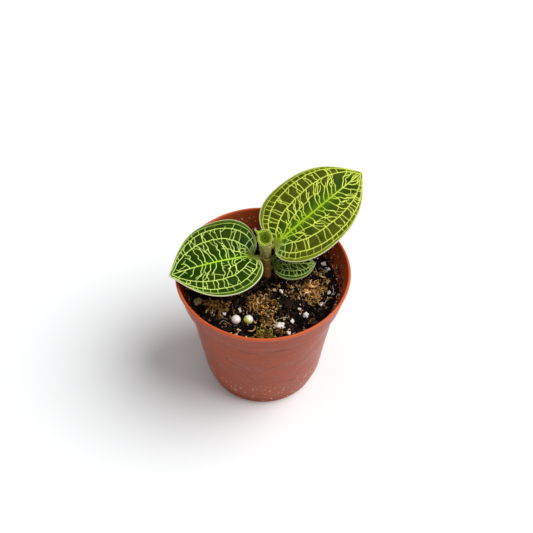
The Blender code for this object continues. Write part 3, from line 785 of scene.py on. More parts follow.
@dataclass(frozen=True)
class PotFinish:
    """Moulded plastic of the pot, in linear light."""

    body: Colour = (0.345, 0.048, 0.006)
    # the lip's orange is partly its own colour and partly a painted glow of light through the thin plastic
    lip: Colour = (0.60, 0.105, 0.028)
    # painted light: the inner wall is the same plastic, painted brighter than the outside to offset the shade
    # inside the pot
    inside: Colour = (0.50, 0.085, 0.018)
    # darker colour of the inner wall towards the soil
    inside_towards_soil: Colour = (0.070, 0.028, 0.014)
    # colour of the real scuffs, also used for the painted shade line under the lip
    scuff_and_lip_shade: Colour = (0.170, 0.016, 0.002)
    # painted highlight laid beside each scuff
    scuff_highlight: Colour = (0.55, 0.24, 0.17)
    lime: Colour = (0.80, 0.58, 0.48)
    scuffs: tuple[Scuff, ...] = (
        Scuff(-119.5, 30.2, 0.9, 0.35, 12.0, 1.0), Scuff(-110.5, 28.0, 3.6, 0.45, -14.0, 0.55),
        Scuff(-100.0, 39.1, 4.5, 0.30, 0.0, 0.7), Scuff(-73.5, 40.5, 3.6, 0.60, 9.0, 0.8),
        Scuff(-78.0, 29.4, 3.0, 0.45, 12.0, 0.5), Scuff(-64.0, 16.0, 2.4, 0.55, 9.0, 0.75),
        Scuff(-116.0, 26.4, 1.6, 0.35, 25.0, 0.5), Scuff(-96.0, 26.6, 3.2, 0.30, -38.0, 0.4),
        Scuff(-88.5, 26.4, 3.2, 0.30, 38.0, 0.4), Scuff(-99.0, 13.0, 1.2, 0.5, 0.0, 0.5),
        Scuff(20.0, 30.0, 4.0, 0.5, 8.0, 0.6), Scuff(95.0, 34.0, 3.4, 0.45, -10.0, 0.6),
        Scuff(150.0, 22.0, 3.0, 0.5, 15.0, 0.6))

    def rubbed(self, paint: Paint, around: Wire, height: Wire) -> Wire:
        """Mask of all the scuffs, from the turn in radians and the height in metres.

        Args:
            paint: Shader tree.
            around: Turn round the pot.
            height: Height on the pot.

        Returns:
            The mask, from 0 to 1.
        """
        total: Any = 0.0
        rough = (paint.noise(1.1, 3.0) - 0.5) * 1.5
        for mark in self.scuffs:
            x = (around - math.radians(mark.turn)) * 25.0
            z = height / MM - mark.height
            cosine, sine = math.cos(math.radians(mark.tilt)), math.sin(math.radians(mark.tilt))
            along = x * cosine + z * sine
            out = z * cosine - x * sine
            far = (along / mark.half_length) ** 2.0 + (out / mark.half_width) ** 2.0
            spot = paint.step(far + rough, 1.2, 0.5, 0.0, min(1.0, 1.25 * mark.strength))
            total = paint.math("MAXIMUM", total, spot)
        return total

    def specks(self, paint: Paint, size: float, kept: float) -> Wire:
        """Mask of small round specks, of which only a share is kept.

        Args:
            paint: The material.
            size: Distance between specks in millimetres.
            kept: Share of them that is kept.

        Returns:
            The mask.
        """
        pick = paint.add("ShaderNodeSeparateColor", {"Color": paint.cells(size, output="Color")})
        ragged = paint.cells(size) + paint.noise(0.4 * size) * 0.36
        return paint.step(ragged, 0.45, 0.34) * paint.step(paint.out(pick), 1.0 - kept, 1.03 - kept)

    def make(self) -> Material:
        """Satin plastic: a lip with painted glow, scuffs with painted highlights, painted shade under the
        lip, lime specks low down, and an inner wall painted brighter that darkens towards the soil.
        """
        paint = Paint("pot_plastic", 0.4)
        axes = paint.add("ShaderNodeSeparateXYZ", {"Vector": paint.place})
        height = paint.out(axes, "Z")
        around = paint.math("ARCTAN2", paint.out(axes, "Y"), paint.out(axes, "X"))
        cloud = paint.noise(9.0, 4.0, 0.6)
        paint.coat = paint.mix(paint.step(cloud, 0.35, 0.7), scaled(self.body, 0.90), scaled(self.body, 1.08))
        drag = paint.noise(2.4, 3.0, 0.6, paint.stretched(0.42, 0.42, 2.2))
        rings = paint.noise(1.2, 2.0, 0.5, paint.stretched(0.08, 0.08, 1.0))
        paint.lay(paint.step(rings, 0.45, 0.65, 0.0, 0.10), scaled(self.body, 1.5))
        marks = paint.step(drag, 0.62, 0.7) * paint.step(paint.noise(12.0, 2.0), 0.5, 0.62, 0.0, 0.08)
        marks = paint.math("MAXIMUM", marks, self.rubbed(paint, around, height))
        # painted highlight: a pale copy of the scuff mask, shifted a little, laid beside each dark scuff
        pale = self.rubbed(paint, around - 0.05, height - 0.2 * MM)
        paint.lay(pale * 0.4, self.scuff_highlight)
        paint.lay(marks, self.scuff_and_lip_shade)
        worn = paint.noise(5.5, 3.0, 0.6, paint.stretched(1.0, 1.0, 0.45))
        paint.lay(paint.step(worn, 0.54, 0.7, 0.0, 0.2), scaled(self.body, 1.15, 0.018))
        # painted shade: a dark line under the lip's overhang
        shade = paint.step(height, 50.0 * MM, 50.4 * MM) * paint.step(height, 50.95 * MM, 50.7 * MM)
        paint.lay(shade * 0.55, self.scuff_and_lip_shade)
        low = paint.step(height, 17.0 * MM, 10.0 * MM)
        spots = paint.math("MAXIMUM", self.specks(paint, 1.6, 0.5), self.specks(paint, 1.0, 0.36))
        spots = spots * (low * paint.step(cloud, 0.4, 0.52, 0.25))
        paint.lay(spots * 0.95, self.lime)
        # painted glow: the lip is brighter orange, partly for light shining through the thin plastic
        paint.lay(paint.step(height, 50.6 * MM, 51.0 * MM), self.lip)
        # painted light: the inner wall is painted brighter than the outer plastic; it turns darker towards
        # the soil and has pale crumbs low down
        inner = paint.attribute("inner")
        inner_blotch = paint.noise(1.5, 4.0, 0.65)
        inner_wall_colour = paint.mix(paint.step(inner_blotch - height * (0.06 / MM), -2.24, -2.02), self.inside, self.inside_towards_soil)
        crumbs = self.specks(paint, 1.4, 0.6) * paint.step(height, 50.2 * MM, 48.2 * MM)
        inner_wall_colour = paint.mix(crumbs, inner_wall_colour, (0.88, 0.70, 0.62))
        paint.lay(inner, inner_wall_colour)
        paint.colour(paint.coat)
        paint.roughness(paint.math("ADD", paint.step(cloud, 0.3, 0.7, 0.27, 0.38), inner * 0.25,
                                   clamp=True))
        relief = drag * 0.5 + paint.noise(0.6, 3.0, 0.6) + rings * 0.2 - marks * 0.4
        paint.relief(relief + paint.noise(3.4, 2.0, 0.5) * 2.6 + spots, 0.1, 0.8)
        paint.gloss(0.24)
        return paint.material


@dataclass(frozen=True)
class GritFinish:
    """Dry broken matter such as peat, bark, moss or perlite, in linear light."""

    name: str
    dark: Colour
    light: Colour
    spare: Colour
    spare_from: float = 0.85
    feature: float = 0.6
    roughness: float = 0.9
    grain_depth: float = 0.12
    falls: float = 1.6
    specular: float = 0.2

    def make(self) -> Material:
        """Matt matter whose pieces differ by their stored tint, with a fine broken grain."""
        paint = Paint(self.name, self.roughness)
        tint = paint.attribute("tint")
        blotch = paint.noise(self.feature, 4.0, 0.65)
        share = paint.math("MULTIPLY", tint ** self.falls, paint.step(blotch, 0.3, 0.7, 0.55, 1.4),
                           clamp=True)
        base = paint.mix(share, self.dark, self.light)
        base = paint.mix(paint.step(tint, self.spare_from, self.spare_from + 0.04), base, self.spare)
        paint.colour(base)
        paint.relief(paint.noise(0.4 * self.feature, 4.0, 0.7), self.grain_depth)
        paint.gloss(self.specular)
        return paint.material


@dataclass(frozen=True)
class PrillFinish:
    """Coated feed pellet, with green algae where its attribute says, in linear light."""

    shell: Colour = (0.92, 0.89, 0.82)
    algae: Colour = (0.56, 0.70, 0.05)

    def make(self) -> Material:
        """Smooth pale shell with faint pits and a green side."""
        paint = Paint("prill_shell", 0.38)
        cloud = paint.noise(0.9, 3.0)
        shell = paint.mix(paint.step(cloud, 0.4, 0.75), self.shell, scaled(self.shell, 0.72))
        green = paint.attribute("algae") * paint.step(cloud, 0.2, 0.5, 0.75, 1.0)
        paint.colour(paint.mix(green, shell, self.algae))
        paint.relief(paint.noise(0.3, 3.0), 0.06)
        paint.glow_within(0.15, (1.0, 0.9, 0.7), 0.7)
        paint.gloss(0.5, 0.2, 0.2)
        return paint.material


class Finish(Enum):
    """Every finish of the potted plant."""

    LEAF_BIG = LeafFinish("leaf_olive", (0.030, 0.062, 0.001), (0.084, 0.098, 0.004), (0.115, 0.235, 0.004),
                          2.1, 0.60, (0.165, 0.215, 0.004), (0.66, 0.77, 0.105), (0.38, 0.56, 0.022))
    LEAF_SIDE = LeafFinish("leaf_green", (0.014, 0.044, 0.001), (0.030, 0.062, 0.003), (0.055, 0.17, 0.003),
                           1.4, 0.45, (0.065, 0.135, 0.005), (0.68, 0.86, 0.19), (0.50, 0.74, 0.07),
                           throat=(0.17, 0.22, 0.020))
    # partly painted shade: the low leaf's veins, margin, edge and throat are dimmer than the side leaf's, for
    # the big leaf's shadow over it
    LEAF_LOW = LeafFinish("leaf_shade", (0.014, 0.048, 0.001), (0.024, 0.062, 0.002), (0.05, 0.16, 0.004),
                          1.2, 0.35, (0.055, 0.115, 0.005), (0.60, 0.76, 0.22), (0.50, 0.66, 0.15),
                          (0.36, 0.42, 0.17), (0.11, 0.14, 0.015), band=0.9)
    STALK = FleshFinish("leaf_stalk", (0.17, 0.165, 0.016), (0.22, 0.27, 0.022), (0.32, 0.33, 0.07),
                        50.0, 58.0)
    SHEATH = FleshFinish("sheath_pale", (0.17, 0.13, 0.020), (0.33, 0.32, 0.075), (0.66, 0.62, 0.33), 53.0,
                         57.5, 0.75)
    SHEATH_LOW = FleshFinish("sheath_brown", (0.34, 0.150, 0.045), (0.34, 0.27, 0.05), (0.62, 0.46, 0.17),
                             45.0, 53.0, 0.5, 0.5)
    STEM = FleshFinish("stem_skin", (0.28, 0.110, 0.040), (0.30, 0.22, 0.04), (0.55, 0.38, 0.13), 45.0, 53.0)
    POT = PotFinish()
    PEAT = GritFinish("peat", (0.0030, 0.0018, 0.0014), (0.034, 0.019, 0.011), (0.24, 0.155, 0.08), 0.93, 0.9,
                      0.85, 0.2, 2.2, 0.07)
    BARK = GritFinish("bark", (0.006, 0.0035, 0.003), (0.085, 0.045, 0.022), (0.50, 0.36, 0.21), 0.90, 0.7,
                      0.85, 0.15, 2.4, 0.1)
    MOSS_BROWN = GritFinish("moss_brown", (0.05, 0.024, 0.005), (0.82, 0.44, 0.120), (0.95, 0.70, 0.36), 0.92,
                            0.6, 0.9, 0.12, 0.80, 0.03)
    MOSS_TAN = GritFinish("moss_tan", (0.12, 0.045, 0.010), (0.98, 0.53, 0.165), (0.98, 0.72, 0.42), 0.88,
                          0.6, 0.9, 0.12, 0.55, 0.03)
    MOSS_GREEN = GritFinish("moss_green", (0.05, 0.034, 0.006), (0.58, 0.42, 0.10), (0.48, 0.64, 0.04), 0.74,
                            falls=0.9, specular=0.03)
    PERLITE = GritFinish("perlite", (0.55, 0.50, 0.42), (0.88, 0.84, 0.77), (0.44, 0.46, 0.20), 0.96,
                         0.8, 0.9, 0.1, 1.0)
    THREAD = GritFinish("thread", (0.10, 0.09, 0.035), (0.85, 0.81, 0.70), (0.20, 0.045, 0.015), 0.9,
                        0.8, 0.7, 0.02, 1.0)
    PRILL = PrillFinish()

    def paint(self) -> Material:
        """The finish's material, made once."""
        found = MADE.get(self.name)
        if found is None:
            found = self.value.make()
            MADE[self.name] = found
        return found


MADE: dict[str, Material] = {}


@dataclass(frozen=True)
class Blade:
    """Outline and stance of one leaf blade, lengths in millimetres and angles in degrees."""

    length: float
    half_left: float
    half_right: float
    back_left: float
    back_right: float
    lobe_left: float
    lobe_right: float
    hook_left: float
    hook_right: float
    widest_at: float
    tip_run: float
    tip_width: float
    sinus: Three
    heading: float
    rise: float
    roll: float
    arch: float
    channel: float
    droop: float
    lift: float
    thickness: float = 0.44
    round_edge: float = 0.3
    widest_share: float = 0.45
    interior_curve: float = 1.3

    def margin(self, t: Any, left: Any) -> tuple[Any, Any]:
        """Outline points.

        Args:
            t: Array of shares of the way from the notch to the tip.
            left: Array that is true on the left side.

        Returns:
            Arrays of distances along and away from the midrib, in millimetres.
        """
        half = np.where(left, self.half_left, self.half_right)
        back = np.where(left, self.back_left, self.back_right)
        lobe = np.where(left, self.lobe_left, self.lobe_right)
        hook = np.where(left, self.hook_left, self.hook_right)
        widest = self.widest_at * self.length
        ahead = self.length - widest
        rear = t <= self.widest_share
        u = np.where(rear, t / self.widest_share, (t - self.widest_share) / (1.0 - self.widest_share))
        xs = [np.where(rear, 0.0, widest), np.where(rear, -back * hook, widest + 0.52 * ahead),
              np.where(rear, widest * 0.35 - back, self.length - self.tip_run),
              np.where(rear, widest, self.length)]
        ys = [np.where(rear, 0.0, half), np.where(rear, lobe * half, half),
              np.where(rear, half, self.tip_width * half), np.where(rear, half, 0.0)]
        weights = [(1 - u) ** 3, 3 * (1 - u) ** 2 * u, 3 * (1 - u) * u * u, u**3]
        return sum(w * x for w, x in zip(weights, xs)), sum(w * y for w, y in zip(weights, ys))

    def flat(self, t: Any, v: Any) -> tuple[Any, Any]:
        """Place on the flat leaf in millimetres, for shares t along and v from -1 to 1 across.

        Args:
            t: Share along the leaf.
            v: Share across it.

        Returns:
            The two lengths.
        """
        edge_x, edge_y = self.margin(t, v >= 0.0)
        share = np.abs(v)
        x = self.length * t + (edge_x - self.length * t) * share**self.interior_curve
        return x, np.sign(v) * edge_y * share

    def shape(self, t: Any, v: Any, up: Any = 0.0) -> Any:
        """World points in metres of the bent blade, lifted by up millimetres.

        Args:
            t: Shares along.
            v: Shares across, from -1 to 1.
            up: Lift off the blade.

        Returns:
            Array of points.
        """
        t = np.asarray(t, float)
        v = np.asarray(v, float)
        x, y = self.flat(t, v)
        half = 0.5 * (self.half_left + self.half_right)
        across = y / half
        z = self.channel * half * np.sqrt(across * across + 0.01) - self.droop * half * across * across
        z = z + self.lift * np.exp(-((x / (0.28 * self.length)) ** 2)) * np.abs(across) * half + up
        bend = math.radians(self.arch) / self.length
        angle = bend * x
        local = np.stack([np.sin(angle) / bend + z * np.sin(angle), y,
                          (np.cos(angle) - 1.0) / bend + z * np.cos(angle)], -1)
        turn = (Matrix.Rotation(math.radians(self.heading), 3, "Z")
                @ Matrix.Rotation(math.radians(-self.rise), 3, "Y")
                @ Matrix.Rotation(math.radians(self.roll), 3, "X"))
        return (local @ np.array(turn).T + np.array(self.sinus)) * MM


@dataclass
class Strand:
    """One vein: its shares along and across, its half width in millimetres and its brightness."""

    path: list[Share]
    start: float
    end: float
    shine: float = 1.0


@dataclass(frozen=True)
class NetPlan:
    """Layout of the veins in each half of a blade: stations are (share along, share out)."""

    seed: int
    inner: tuple[Share, ...]
    middle: tuple[Share, ...]
    outer: tuple[Share, ...]
    edge: tuple[Share, ...]
    rung_gap: float = 2.1
    rung_advance: float = 0.12
    cell_gap: float = 2.5
    square_gap: float = 1.6
    width: float = 0.138
    midrib: float = 0.38
    open_tip: float = 0.25
    plain_tip: float = 0.895


class VeinNet:
    """Vein net of one blade, grown by rule from a plan with seeded draws."""

    rung_stop = 0.955
    cell_stop = 0.95
    point_gap = 0.16 * MM

    def __init__(self, blade: Blade, plan: NetPlan) -> None:
        """Keep the blade and the plan, and seed the draws.

        Args:
            blade: Blade that the net lies on.
            plan: Plan of the net.
        """
        self.blade = blade
        self.plan = plan
        self.draw = random.Random(plan.seed)
        self.strands: list[Strand] = []

    def half_width(self, t: float, side: float) -> float:
        """Distance from the midrib to the margin at a share along, in millimetres."""
        return max(0.4, float(self.blade.margin(np.array(t), np.array(side > 0.0))[1]))

    @staticmethod
    def read(rail: Sequence[Share], t: float) -> float:
        """Share out of a long vein at a share along."""
        return float(np.interp(t, [station[0] for station in rail], [station[1] for station in rail]))

    def wander(self, start: Share, end: Share, side: float, sway: float, pitch: float = 1.3) -> list[Share]:
        """Kinked path between two places of one half.

        Args:
            start: Share along and share out or across where it starts.
            end: Share along and share out or across where it ends.
            side: 1 on the left half and -1 on the right half.
            sway: Size of the kinks in millimetres.
            pitch: Distance between kinks in millimetres.

        Returns:
            Points as shares along and across.
        """
        start, end = (start[0], abs(start[1])), (end[0], abs(end[1]))
        long = self.blade.length
        wide = self.half_width(0.5 * (start[0] + end[0]), side)
        run = (end[0] - start[0]) * long
        reach = (end[1] - start[1]) * wide
        size = math.hypot(run, reach)
        kinks = max(1, round(size / pitch))
        points = [start]
        for index in range(1, kinks):
            share = (index + self.draw.uniform(-0.25, 0.25)) / kinks
            off = self.draw.gauss(0.0, sway)
            along = start[0] + (end[0] - start[0]) * share - off * reach / max(size, 0.1) / long
            out = start[1] + (end[1] - start[1]) * share + off * run / max(size, 0.1) / wide
            points.append((along, max(0.0, out)))
        points.append(end)
        return [(t, side * w) for t, w in self.ease(points)]

    @staticmethod
    def ease(points: Sequence[Share]) -> list[Share]:
        """Round the kinks of a path a little by cutting its corners once.

        Args:
            points: Points of the path.

        Returns:
            The rounded path.
        """
        eased = [points[0]]
        for before, after in zip(points, points[1:]):
            for share in (0.22, 0.78):
                eased.append((before[0] + (after[0] - before[0]) * share,
                              before[1] + (after[1] - before[1]) * share))
        return eased + [points[-1]]

    def add(self, path: list[Share], start: float, end: float, shine: float = 1.0) -> None:
        """Keep one vein, with its half widths at both ends, unless it starts in the plain tip."""
        if path[0][0] < self.plan.plain_tip:
            self.strands.append(Strand(path, start, end, shine))

    def grow_vein(self, start: Share, end: Share, side: float, sway: float, pitch: float, first: float,
                  last: float, shine: float = 1.0) -> None:
        """Grow one kinked vein, with its half widths at both ends."""
        self.add(self.wander(start, end, side, sway, pitch), first, last, shine)

    def grow_rail(self, rail: Sequence[Share], side: float, start: float, end: float, shine: float) -> None:
        """Grow one long vein with a slight tremble.

        Args:
            rail: Its stations.
            side: 1 on the left half and -1 on the right half.
            start: Half width at its start.
            end: Half width at its end.
            shine: Its brightness.
        """
        first, last = rail[0][0], rail[-1][0]
        steps = max(4, round((last - first) * self.blade.length / 1.1))
        path = []
        for index in range(steps + 1):
            t = first + (last - first) * index / steps
            wide = self.half_width(t, side)
            w = self.read(rail, t) + self.draw.gauss(0.0, 0.09) / wide
            path.append((t, side * max(0.0, w)))
        self.add(self.ease(path), start, end, shine)

    def grow_rungs(self, side: float) -> None:
        """Grow the oblique, forked veins between the midrib and the middle long vein.

        Args:
            side: 1 on the left half and -1 on the right half.
        """
        plan = self.plan
        t = 0.035
        last: list[Share] = []
        while t < 0.945:
            slower = 0.55 + 0.45 * min(1.0, 4.0 * (1.0 - t))
            end_t = min(self.rung_stop, t + plan.rung_advance * slower * self.draw.uniform(0.75, 1.2))
            end = (end_t, self.read(plan.middle, end_t))
            width = plan.width * self.draw.uniform(0.82, 1.1)
            fate = self.draw.random()
            if fate < 0.14:
                share = self.draw.uniform(0.45, 0.75)
                end = (t + (end[0] - t) * share, end[1] * share)
            path = self.wander((t, 0.0), end, side, 0.34)
            self.add(path, width * 1.15, width * 0.85)
            if fate > 0.52 and len(path) > 6:
                fork = path[len(path) // 2 - self.draw.randint(0, 2)]
                further = self.draw.uniform(0.55, 0.8) * plan.rung_gap / self.blade.length
                tip_t = min(self.rung_stop, end_t + further)
                tip = (tip_t, self.read(plan.middle, tip_t))
                if fate > 0.82:
                    tip = (0.5 * (fork[0] + tip[0]) + 0.01, 0.5 * (abs(fork[1]) + tip[1]))
                self.grow_vein(fork, tip, side, 0.2, 1.1, width * 0.9, width * 0.7)
            if last and self.draw.random() < 0.34:
                here = path[self.draw.randrange(len(path) // 3, max(len(path) // 3 + 1, len(path) - 2))]
                there = min(last, key=lambda spot: (spot[0] - here[0]) ** 2 * 3.0 + (spot[1] - here[1]) ** 2)
                self.grow_vein(there, here, side, 0.12, 0.8, width * 0.8, width * 0.7)
            last = path
            self.grow_spurs(path, side, width)
            open_out = 1.0 + plan.open_tip * float(smooth(t, 0.5, 0.78))
            open_out *= 1.0 - 0.45 * float(smooth(t, 0.84, 0.92))
            open_out *= 1.0 + 0.35 * float(smooth(t, 0.24, 0.06))
            skip = self.draw.choice((0.5, 0.85, 1.05, 1.25)) * self.draw.uniform(0.9, 1.1)
            t += plan.rung_gap * skip * open_out / self.blade.length

    def grow_spurs(self, path: Sequence[Share], side: float, width: float) -> None:
        """Grow short hooked ends off one oblique vein.

        Args:
            path: Course of the oblique vein.
            side: 1 on the left half and -1 on the right half.
            width: Its width.
        """
        for _ in range(self.draw.choice((0, 1, 1, 2))):
            root = path[self.draw.randrange(1, max(2, len(path) - 2))]
            ahead = self.draw.choice((-1.0, 1.0)) * self.draw.uniform(0.5, 1.1) / self.blade.length
            out = abs(root[1]) + self.draw.uniform(0.35, 0.9) / self.half_width(root[0], side)
            tip = (root[0] + ahead, min(out, self.read(self.plan.middle, root[0]) - 0.01))
            self.grow_vein(root, tip, side, 0.1, 0.7, width * 0.8, width * 0.55, 0.9)

    def grow_cells(self, side: float) -> None:
        """Grow the clustered cross veins between the middle and the outer long vein.

        Args:
            side: 1 on the left half and -1 on the right half.
        """
        plan = self.plan
        t = 0.05
        while t < 0.93:
            cluster = self.draw.choice((1, 1, 2, 2, 3))
            for index in range(cluster):
                start = (t, self.read(plan.middle, t))
                end_t = min(self.cell_stop, t + self.draw.uniform(0.0, 0.028))
                end = (end_t, self.read(plan.outer, end_t))
                width = plan.width * self.draw.uniform(0.8, 1.05)
                path = self.wander(start, end, side, 0.2)
                self.add(path, width, width * 0.85)
                if self.draw.random() < 0.30 and len(path) > 4:
                    fork = path[len(path) // 2]
                    tip_t = min(self.cell_stop, end_t + self.draw.choice((-0.9, 0.9)) / self.blade.length)
                    tip = (tip_t, self.read(plan.outer, tip_t))
                    self.grow_vein(fork, tip, side, 0.12, 0.9, width * 0.85, width * 0.7)
                if index < cluster - 1:
                    t += self.draw.uniform(0.65, 1.0) / self.blade.length
            t += plan.cell_gap * self.draw.uniform(0.7, 1.2) / self.blade.length

    def grow_squares(self, side: float) -> None:
        """Grow the short cross veins outside the outer long vein, some of which run on as ticks.

        Args:
            side: 1 on the left half and -1 on the right half.
        """
        plan = self.plan
        t = 0.05
        stop = plan.edge[-1][0]
        while t < 0.93:
            start = (t, self.read(plan.outer, t))
            slip = self.draw.uniform(-0.004, 0.008)
            squared = t < stop
            out = self.read(plan.edge, t) if squared else min(0.95, start[1] + self.draw.uniform(0.05, 0.10))
            if squared and self.draw.random() < 0.3:
                out = min(0.965, out + self.draw.uniform(0.02, 0.045))
            width = plan.width * self.draw.uniform(0.75, 0.95)
            if out > start[1] + 0.015:
                self.add(self.wander(start, (t + slip, out), side, 0.06), width, width * 0.7, 0.92)
            t += plan.square_gap * self.draw.uniform(0.75, 1.3) / self.blade.length

    def grow(self) -> list[Strand]:
        """Grow the whole net and return its veins."""
        plan = self.plan
        midrib = [(t, 0.0) for t in np.linspace(0.0, 0.985, 40)]
        self.add(midrib, plan.midrib, plan.width)
        for side in (1.0, -1.0):
            for rail, first, last, shine in ((plan.inner, 1.0, 0.7, 1.0), (plan.middle, 1.2, 1.0, 1.0),
                                             (plan.outer, 1.1, 0.9, 1.0), (plan.edge, 0.85, 0.6, 0.85)):
                self.grow_rail(rail, side, plan.width * first, plan.width * last, shine)
            self.grow_rungs(side)
            self.grow_cells(side)
            self.grow_squares(side)
        return self.strands

    def as_object(self, name: str) -> Thing:
        """Chains of edges on the bent blade's upper side, with a half width and brightness at each point.

        Args:
            name: Name of the object.

        Returns:
            The net as one object.
        """
        points: list[Any] = []
        edges: list[tuple[int, int]] = []
        halves: list[float] = []
        shines: list[float] = []
        for strand in self.grow():
            t, v = (np.array(values) for values in zip(*strand.path))
            place = self.blade.shape(t, v)
            reach = np.concatenate([[0.0], np.cumsum(np.linalg.norm(np.diff(place, axis=0), axis=1))])
            count = max(2, int(reach[-1] / self.point_gap))
            even = np.linspace(0.0, reach[-1], count + 1)
            dense = self.blade.shape(np.interp(even, reach, t), np.interp(even, reach, v))
            first = len(points)
            points.extend(dense)
            edges.extend((first + index, first + index + 1) for index in range(count))
            share = even / reach[-1]
            halves.extend((strand.start + (strand.end - strand.start) * share) * MM)
            shines.extend([strand.shine] * (count + 1))
        mesh = bpy.data.meshes.new(name)
        mesh.from_pydata([tuple(map(float, point)) for point in points], edges, [])
        keep_numbers(mesh, "half_width", halves)
        keep_numbers(mesh, "shine", shines)
        return show(name, mesh)


class VeinRelief(Recipe):
    """Marks each point's distance from the nearest vein, raises the veins and domes the cells."""

    def __init__(self) -> None:
        """Build the tree."""
        super().__init__("vein relief")
        veins, relief, dome, material = self.ask(Veins="Object", Relief="Float", Cell_Dome="Float",
                                                 Material="Material")
        net = self.add("GeometryNodeObjectInfo", {"Object": veins}).outputs["Geometry"]
        near = self.add("GeometryNodeProximity", {"Geometry": net}, target_element="EDGES")
        distance = self.out(near, "Distance")
        nearest = self.wire("GeometryNodeSampleNearest", {"Geometry": net}, domain="POINT")
        half = self.sample(net, "half_width", nearest)
        shine = self.sample(net, "shine", nearest)
        gap = (distance - half) / MM
        marked = self.store(self.host, "vein_gap", gap)
        marked = self.store(marked, "vein_shine", shine)
        raised = self.step(gap, 0.14, -0.06) * relief
        domed = self.step(gap, 0.05, 0.9) * dome
        height = (raised + domed) * self.stored("upper")
        self.close(self.pushed(marked, height), material)

    def sample(self, net: Wire, name: str, index: Wire) -> Wire:
        """Number stored on the net's point with that index."""
        inputs = {"Geometry": net, "Value": self.stored(name), "Index": index}
        return self.wire("GeometryNodeSampleIndex", inputs, data_type="FLOAT", domain="POINT")


